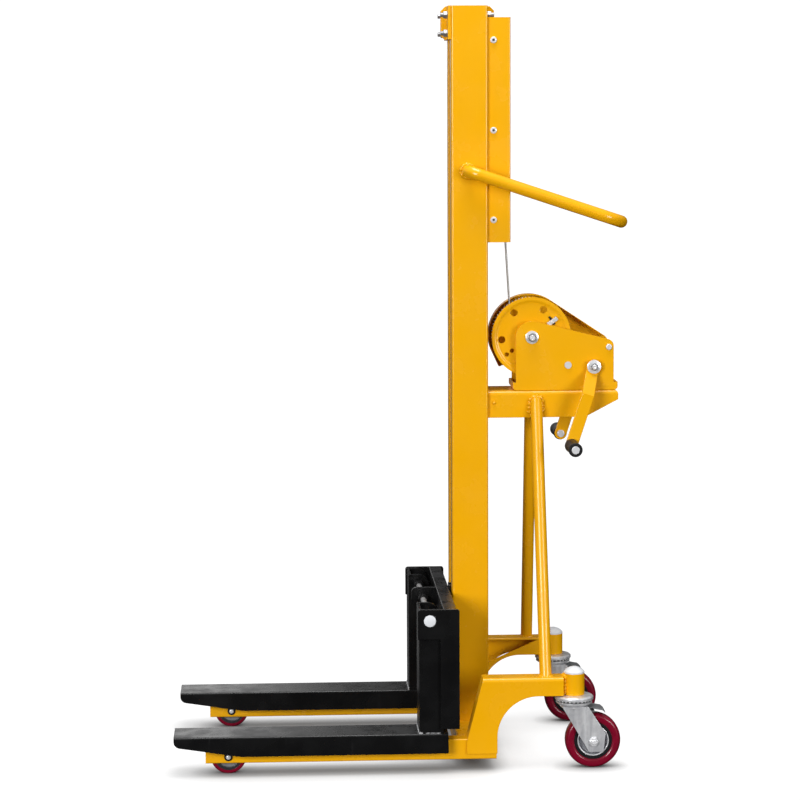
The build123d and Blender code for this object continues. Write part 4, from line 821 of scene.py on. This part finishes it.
# Half of each part's profile, and the whole round of the lip
TYRE_PROFILE = (
    (TYRE_INNER, 0.5 - RIM_HALF), (TYRE_INNER + 3, 0.3 - WHEEL_HALF), (TYRE_INNER + 5, -WHEEL_HALF),
    *arc((WHEEL_RADIUS - SHOULDER, -CROWN_HALF), (SHOULDER, WHEEL_HALF - CROWN_HALF), -90, 0),
)
RIM_PROFILE = (
    (TYRE_INNER, 1 - RIM_HALF), (TYRE_INNER - 1, -RIM_HALF), (RIM_GROOVE + 0.8, -RIM_HALF),
    (RIM_GROOVE + 0.4, GROOVE_DEPTH - RIM_HALF), (RIM_GROOVE - 0.4, GROOVE_DEPTH - RIM_HALF),
    (RIM_GROOVE - 0.8, -RIM_HALF), (RIM_INNER + 1.5, -RIM_HALF), (RIM_INNER, 1.5 - RIM_HALF),
)
DISH_PROFILE = (
    (AXLE_BORE, -HUB_HALF), (11, -HUB_HALF), (12, 1 - HUB_HALF), (12.6, -11), (17, -5.2), (28, -4.4),
    (31.5, -6.4), (33.2, -11), (34.4, -13.0), (RIM_INNER, -13.0),
)
LIP_PROFILE = arc((34.1, -13.6), (1.4, 1.4), 0, 330, 11)

CASTER_PARTS = (
    ("tyre", TYRE_PROFILE, "red_tread", "caster_tread"),
    ("rim", RIM_PROFILE, BLACK_RIM, "caster_wheel"),
    ("dish", DISH_PROFILE, "wheel_core", "caster_wheel"),
)


def caster_wheels():
    """Swivel wheels: glossy tyre, black rim with a moulding groove, and a plated dish whose rolled lip is brighter
    as painted highlight.
    """
    for side, _ in SIDES:
        centre = PIVOT[f"{side}_caster_roll"]
        body = f"{side}_caster_wheel"
        for label, profile, finish, stem in CASTER_PARTS:
            node = f"{stem}_{side}"
            turned_piece(f"caster_{label}_{side}", both_ways(profile), centre, finish, body, (node,))
        # The rolled lip takes the brighter fastener zinc, not the dish's own: painted highlight along the dish's
        # edge
        for place, way in WHEEL_FACES:
            turned_piece(f"caster_lip_{side}_{place}", facing(LIP_PROFILE, way), centre, FASTENER, body,
                         (f"caster_wheel_{side}",))


def caster_yokes():
    """Pressed yokes, and their bright axle bolts as pieces of their own."""
    for side, _ in SIDES:
        axle = PIVOT[f"{side}_caster_roll"]

        def on_axle(place):
            return hypot(place.x - axle.x, place.z - axle.z) < MM

        softened(f"caster_yoke_{side}", YOKE_EDGE, keep=lambda place: not on_axle(place))
        softened(f"caster_yoke_{side}", BOLT_EDGE, FASTENER, keep=on_axle, name=f"caster_bolt_{side}")


BALLS = 26
BALL_RADIUS = 1.8
BALL_CIRCLE = 38.4
BALL_SEGMENTS, BALL_RINGS = 10, 7
RACE_GAP = 4.8
# Black ring just inside the balls, filling the gap between the races: painted shade
GAP_SHADE_HALF = RACE_GAP / 2 - 0.5
GAP_SHADE_PROFILE = both_ways([(36.05, -GAP_SHADE_HALF), (36.4, -GAP_SHADE_HALF)])


def swivel_balls():
    """Ring of balls in each swivel head, with a black ring behind them as painted shade in the gap between the
    races.
    """
    for side, _ in SIDES:
        pivot = PIVOT[f"{side}_swivel"]
        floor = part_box(f"caster_yoke_{side}")[1].z
        middle = Vector((pivot.x, pivot.y, floor + RACE_GAP / 2 * MM))
        bm = bmesh.new()
        for place in ring_points(middle, BALL_CIRCLE, UP, count=BALLS)[1:]:
            bmesh.ops.create_uvsphere(bm, u_segments=BALL_SEGMENTS, v_segments=BALL_RINGS,
                                      radius=BALL_RADIUS * MM, matrix=Matrix.Translation(place))
        place_piece(f"swivel_balls_{side}", bm, "bright_steel", "chassis", BALL_ANGLE)
        turned_piece(f"swivel_gap_shade_{side}", GAP_SHADE_PROFILE, middle, BLACK_RIM, "chassis",
                     axis=UP)


# Load wheels and their axles

AXLE_RADIUS = 6.0
AXLE_HEAD = 5.0
AXLE_BUTTON = 5.6
AXLE_WASHER = 9.6
AXLE_WASHER_THICKNESS = 2.4
AXLE_WASHER_EDGE = 0.8
AXLE_WASHER_BORE = AXLE_BUTTON - 1
BUTTON_SINK = 0.2
BUTTON_STEPS = 6
WEB_REACH = (13.0, 25.5)
WEB_FACE = 7.0
WEB_THICKNESS = 0.3


def load_axles():
    """Axles with a bright domed button on a black washer at each end."""
    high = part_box("load_axles")[1]
    for side, sign in SIDES:
        pivot = PIVOT[f"{side}_load_roll"]
        reach = (high.y - abs(pivot.y)) / MM
        seat = reach - AXLE_HEAD
        bar = both_ways([(0, -seat), (AXLE_RADIUS, -seat)])
        turned_piece(f"load_axle_{side}", bar, pivot, "zinc_plate", "chassis", ("load_axles",), PIN_STEPS)
        step = seat + AXLE_WASHER_THICKNESS
        washer = [(AXLE_WASHER_BORE, seat), (AXLE_WASHER, seat), (AXLE_WASHER, step - AXLE_WASHER_EDGE),
                  (AXLE_WASHER - AXLE_WASHER_EDGE, step), (AXLE_WASHER_BORE, step)]
        button = [(0, step - BUTTON_SINK), (AXLE_BUTTON, step - BUTTON_SINK),
                  *arc((0, step), (AXLE_BUTTON, reach - step), 0, 90, BUTTON_STEPS)]
        for place, way in WHEEL_FACES:
            for label, profile, finish in (("washer", washer, BLACK_RIM), ("button", button, FASTENER)):
                turned_piece(f"load_{label}_{side}_{place}", facing(profile, sign * way), pivot, finish,
                             "chassis")


def load_wheels():
    """Dark cores of the load wheels with a paler web between hub and rim."""
    inner, outer = WEB_REACH
    top = WEB_FACE + WEB_THICKNESS
    web = ((inner, WEB_FACE), (outer, WEB_FACE), (outer, top), (inner, top))
    for side, _ in SIDES:
        softened(f"load_wheel_{side}", FINE_EDGE, DARK_CORE)
        for place, way in WHEEL_FACES:
            turned_piece(f"load_web_{side}_{place}", facing(web, way), PIVOT[f"{side}_load_roll"], PEDAL_ZINC,
                         f"{side}_load_wheel")


# Carriage rod

ROD_RADIUS = 6.5
ROD_HEAD = 8.0
ROD_SINK = 1
PLUG_EDGE, PLUG_CORNER = 1.2, 0.35


def carriage_rod():
    """Ground rod with a white plug over its head in each end plate."""
    low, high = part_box("carriage_rod")
    half = (high.y - low.y) / 2 / MM
    reach = (high.x - low.x) / 2 / MM
    inner = half - ROD_HEAD
    centre = (low + high) / 2
    rod = both_ways([(0, -inner - ROD_SINK), (ROD_RADIUS, -inner - ROD_SINK)])
    turned_piece("rod_bar", rod, centre, "bright_steel", "carriage", ("carriage_rod",), ROD_STEPS)
    plug = [(0, half), (reach - PLUG_EDGE, half), (reach - PLUG_CORNER, half - PLUG_CORNER),
            (reach, half - PLUG_EDGE), (reach, inner), (0, inner)]
    for side, sign in SIDES:
        turned_piece(f"rod_plug_{side}", facing(plug, sign), centre, "white_plastic", "carriage",
                     ("carriage_rod",))


# Welds

# Radius of each bead in millimetres, and how rough its ripples are
WELDS = {
    "strut_foot_weld": (2.6, 1.0), "strut_top_weld": (4.0, 2.2), "platform_tack": (4.0, 1.0),
    "cup_weld": (3.4, 2.0), "handle_weld": (4.0, 0.7), "shank_front_weld": (1.5, 2.5),
    "shank_corner_weld": (2.6, 2.5), "shank_side_weld": (1.2, 2.5),
}
WELD_RESOLUTION = 2
WELD_STEP = 0.55
WELD_STITCH, STITCH_DEPTH = 1.45, 0.16
WELD_DRIFT, DRIFT_DEPTH = 0.31, 0.1
WELD_TIP = 0.6

# Places in millimetres, as spot takes them, and turns as two angles and a number of steps
STRUT_FOOT = (-158.0, 222.0, 210.0)
STRUT_TOP = (-152.0, 811.3)
STRUT_RADIUS = 13.75
FOOT_RING = STRUT_RADIUS + 1.2
HOOP_RING = STRUT_RADIUS + 1.4
HOOP_TURN = (-8, 188, 20)
HOOP_LEG = 22
PLATFORM_WALL = 59.4
PLATFORM_TACK = (-55.0, 812.0)
TACK_STEPS = ((-4, 0), (0, 0), (4, 1))
ARM_TOP, ARM_BOTTOM = 210.0, 168.0
CUP = (-222.5, 222.0, ARM_TOP + 0.4)
CUP_RING = 24.1
NECK_TURN = (-27.0, 27.0, 12)
NECK_LEG = ARM_TOP - ARM_BOTTOM - 2
HANDLE_ROOT = (4.0, 70.5, 1341.0)
HANDLE_RING = 15.6

SHANK_FRONT, SHANK_FOOT = 130.0, 92.0
SHANK_SEAM = SHANK_FOOT + 0.6
SHANK_ROUTES = {
    "shank_front_weld": ((SHANK_FRONT + 0.4, 172), (SHANK_FRONT + 0.4, 219), (SHANK_FRONT + 0.4, 262)),
    "shank_corner_weld": ((SHANK_FRONT - 1, 260), (SHANK_FRONT, 266), (SHANK_FRONT - 9, 266)),
    "shank_side_weld": ((SHANK_FRONT - 14, 266), (SHANK_FRONT - 24, 266), (SHANK_FRONT - 48, 266)),
}


def weld(kind, side, route, body, finish="yellow_paint"):
    """Run of weld along a route, with the ripples of its stitches."""
    radius, rough = WELDS[kind]
    name = f"{kind}_{side}"
    curve = new_curve(name, radius * MM, WELD_RESOLUTION)
    knots = add_spline(curve, "POLY", even_steps(route, WELD_STEP * radius * MM)).points
    for number, knot in enumerate(knots):
        stitch, drift = sin(number * WELD_STITCH), sin(number * WELD_DRIFT)
        knot.radius = 1 + rough * (STITCH_DEPTH * stitch + DRIFT_DEPTH * drift)
    for knot in (knots[0], knots[-1]):
        knot.radius = WELD_TIP
    place_piece(name, curve_mesh(curve), finish, body, WELD_ANGLE)


def with_legs(route, length):
    """Route with a leg straight down from each of its ends, by a length in millimetres."""
    leg = Vector((0, 0, -length * MM))
    return [route[0] + leg, *route, route[-1] + leg]


def frame_welds():
    """Painted welds of the chassis, on both sides."""
    for side, sign in SIDES:
        def place(x, y, z):
            return spot(x, sign * y, z)

        hoop = ring_points(place(STRUT_TOP[0], PLATFORM_WALL, STRUT_TOP[1]), HOOP_RING, ACROSS, *HOOP_TURN)
        x, z = PLATFORM_TACK
        tack = [place(x + dx, PLATFORM_WALL, z + dz) for dx, dz in TACK_STEPS]
        neck = ring_points(place(*CUP), CUP_RING, UP, *NECK_TURN)
        weld("strut_foot_weld", side, ring_points(place(*STRUT_FOOT), FOOT_RING, UP), "chassis")
        weld("strut_top_weld", side, with_legs(hoop, HOOP_LEG), "chassis")
        weld("platform_tack", side, tack, "chassis")
        weld("cup_weld", side, with_legs(neck, NECK_LEG), "chassis")
        weld("handle_weld", side, ring_points(place(*HANDLE_ROOT), HANDLE_RING, ACROSS), "chassis")


def fork_welds():
    """Bare welds at the feet of the fork shanks, heavy at the front corner and thin along the side."""
    for side, sign in SIDES:
        for kind, route in SHANK_ROUTES.items():
            line = [spot(x, sign * y, SHANK_SEAM) for x, y in route]
            weld(kind, side, line, f"{side}_fork", BARE_WELD)


# Pieces that keep the CAD form with rounded edges

PLATE_EDGES = {
    "mast_left": 1.0, "mast_right": 1.0, "mast_tie_plates": 0.6, "pulley_bracket": 1.0, "rope_guard": 0.5,
    "winch_platform": 1.0, "winch_frame": 0.8, "winch_cover": 0.4, "base_legs": 1.0, "base_beam": 0.8,
    "rear_brackets": 1.0, "bracket_gussets": 1.0, "carriage_end_plates": 1.2, "carriage_bars": 0.8,
    "carriage_spine": 1.0, "crank_arms": 1.0, "caster_cups": 1.0,
}
TURNED_NODES = (
    "push_handle", "platform_struts", "pulley_axle", "rope_pulley", "caster_stems", "carriage_pins",
    "roller_high_left", "roller_high_right", "roller_low_left", "roller_low_right", "winch_drum", "drum_gear",
    "intermediate_gear", "crank_grip_left", "crank_grip_right", "load_tread_left", "load_tread_right",
)
FASTENER_NODES = ("winch_screws", "intermediate_shaft", "crank_shaft")
FORK_ROOF = 86.0
SEAM_NEAR = 0.1


def fork_seam(place):
    """True on the flush joints between the plates of a fork, which are ground smooth and painted over."""
    joint_x = spot(SHANK_FRONT, 0, 0).x
    at_roof = abs(place.z - FORK_ROOF * MM) < SEAM_NEAR * MM
    at_shank = place.z < (SHANK_FOOT + SEAM_NEAR) * MM and abs(place.x - joint_x) < SEAM_NEAR * MM
    return at_roof or at_shank


def dress_frame():
    """Give every remaining CAD node its rounded piece."""
    for node, width in PLATE_EDGES.items():
        softened(node, (width, PLATE_STEPS))
    for node in TURNED_NODES:
        softened(node, FINE_EDGE)
    for node in FASTENER_NODES:
        softened(node, BOLT_EDGE, FASTENER)
    softened("bracket_bolts", BOLT_EDGE, PEDAL_ZINC)
    for side, _ in SIDES:
        softened(f"brake_pedal_{side}", PEDAL_EDGE, PEDAL_ZINC)
        softened(f"fork_{side}", FORK_EDGE, seam=fork_seam)
    softened("cup_caps", FINE_EDGE, CAP_PLASTIC)


# Studio

CAMERA_PLACE = spot(445.7, 5913.1, 1484.3)
CAMERA_YAW = radians(2.796)
CAMERA_PITCH = radians(6.461)
CAMERA_ROLL = radians(-0.284)
FOCAL_PIXELS = 2580.8
IMAGE_PIXELS = 800
SENSOR = 36.0

FLOOR_SIZE = Vector((1.5, 0.95, 1.0))
FLOOR_TONE = (0.25, 0.25, 0.25, 1)
FLOOR_ROUGHNESS = 0.8
FLOOR_SHINE = 0.1
FLOOR_GLOW = 0.95
# Reach of each painted soft shadow in metres, and how deep it is
FLOOR_PAINTED_SHADOWS = ((0.19, 0.9), (0.05, 1.2))
SHADE_SAMPLES = 16

# Brightness of the room's parts, and the directions between which one turns into the next
ROOM_BACK, ROOM_BACK_TURN = (0.0, 1.6), (-0.02, 0.03)
ROOM_SIDE, ROOM_SIDE_TURN = (1.0, 0.2), (0.045, 0.08)
ROOM_FRONT, ROOM_FRONT_TURN = 0.04, (-0.5, 0.5)
ROOM_TOP, ROOM_TOP_TURN = 0.4, (0.15, 0.9)
ROOM_LOW, ROOM_LOW_TURN = (0.2, 1.0), (-0.06, 0.02)
BACKDROP = 1.1

# Place, target, size and power of each light
MIDDLE = (0, 0, 0.8)
SOFTBOXES = {
    "key": ((3.0, 5.2, 1.8), MIDDLE, 2.2, 235),
    "fill": ((-3.6, 4.8, 1.5), MIDDLE, 2.0, 145),
    "above": ((0, 0.6, 4.4), (0, 0, 0), 1.8, 105),
}


def add_camera():
    """Camera at the photograph's viewpoint."""
    level = cos(CAMERA_PITCH)
    forward = Vector((-sin(CAMERA_YAW) * level, -cos(CAMERA_YAW) * level, -sin(CAMERA_PITCH)))
    right = forward.cross(UP).normalized()
    up = right.cross(forward)
    turned_right = right * cos(CAMERA_ROLL) + up * sin(CAMERA_ROLL)
    turned_up = up * cos(CAMERA_ROLL) - right * sin(CAMERA_ROLL)
    data = bpy.data.cameras.new("viewpoint")
    data.sensor_width = SENSOR
    data.lens = FOCAL_PIXELS / IMAGE_PIXELS * SENSOR
    camera = bpy.data.objects.new("viewpoint", data)
    turn = Matrix((turned_right, turned_up, -forward)).transposed()
    camera.matrix_world = Matrix.Translation(CAMERA_PLACE) @ turn.to_4x4()
    bpy.context.scene.collection.objects.link(camera)
    bpy.context.scene.camera = camera


def add_softbox(name, place, target, size, power):
    """Square area light that faces a point."""
    data = bpy.data.lights.new(name, "AREA")
    data.size = size
    data.energy = power
    lamp = bpy.data.objects.new(name, data)
    lamp.location = place
    lamp.rotation_euler = (Vector(target) - Vector(place)).to_track_quat("-Z", "Y").to_euler()
    bpy.context.scene.collection.objects.link(lamp)


def add_floor():
    """Sheet that looks white to the camera and darkens with painted shadow where the machine stands close to it.
    """
    bm = bmesh.new()
    bmesh.ops.create_grid(bm, x_segments=1, y_segments=1, size=0.5)
    bmesh.ops.scale(bm, vec=FLOOR_SIZE, verts=bm.verts)
    mesh = bpy.data.meshes.new("floor")
    bm.to_mesh(mesh)
    bm.free()
    floor = bpy.data.objects.new("floor", mesh)
    bpy.context.scene.collection.objects.link(floor)
    material, tree, surface = new_finish("studio_floor")
    surface["Base Color"].default_value = FLOOR_TONE
    surface["Roughness"].default_value = FLOOR_ROUGHNESS
    surface["Specular IOR Level"].default_value = FLOOR_SHINE
    surface["Emission Color"].default_value = WHITE
    seen = tree.nodes.new("ShaderNodeLightPath").outputs["Is Camera Ray"]
    glow = times(tree, seen, FLOOR_GLOW)
    # The camera's glow is darkened by ambient occlusion near the machine: painted contact shadow
    for reach, depth in FLOOR_PAINTED_SHADOWS:
        painted_shadow = tree.nodes.new("ShaderNodeAmbientOcclusion")
        painted_shadow.samples = SHADE_SAMPLES
        painted_shadow.inputs["Distance"].default_value = reach
        glow = times(tree, glow, calc(tree, "POWER", painted_shadow.outputs["AO"], depth))
    tree.links.new(glow, surface["Emission Strength"])
    mesh.materials.append(material)
    floor.visible_glossy = False


def add_surroundings():
    """White backdrop for the camera over a dim room that gives paint and metal their contrast."""
    world = bpy.data.worlds.new("studio")
    bpy.context.scene.world = world
    world.use_nodes = True
    tree = world.node_tree
    room = tree.nodes["Background"]
    split = tree.nodes.new("ShaderNodeSeparateXYZ")
    way = split.outputs
    tree.links.new(tree.nodes.new("ShaderNodeTexCoord").outputs["Generated"], split.inputs["Vector"])
    back = spread(tree, way["X"], *ROOM_BACK_TURN, *ROOM_BACK)
    corner = spread(tree, way["X"], *ROOM_SIDE_TURN, *ROOM_SIDE)
    walls = spread(tree, way["Y"], *ROOM_FRONT_TURN, times(tree, back, corner), ROOM_FRONT)
    sky = spread(tree, way["Z"], *ROOM_TOP_TURN, walls, ROOM_TOP)
    ground = spread(tree, way["Z"], *ROOM_LOW_TURN, *ROOM_LOW)
    tree.links.new(times(tree, sky, ground), room.inputs["Strength"])
    backdrop = tree.nodes.new("ShaderNodeBackground")
    backdrop.inputs["Strength"].default_value = BACKDROP
    seen = tree.nodes.new("ShaderNodeLightPath").outputs["Is Camera Ray"]
    mix = tree.nodes.new("ShaderNodeMixShader")
    for slot, source in zip(mix.inputs, (seen, room.outputs["Background"], backdrop.outputs["Background"])):
        tree.links.new(source, slot)
    tree.links.new(mix.outputs["Shader"], tree.nodes["World Output"].inputs["Surface"])
    for node in (room, backdrop):
        node.inputs["Color"].default_value = WHITE


def add_studio():
    """Floor, surroundings and soft lights."""
    add_floor()
    add_surroundings()
    for name, values in SOFTBOXES.items():
        add_softbox(name, *values)
    bpy.context.scene.view_settings.view_transform = "Standard"


add_camera()
winding_rope()
rising_rope()
front_rope()
rope_clamp()
winch_nuts()
guard_screws()
caster_wheels()
caster_yokes()
swivel_balls()
load_axles()
load_wheels()
carriage_rod()
frame_welds()
fork_welds()
dress_frame()
add_studio()
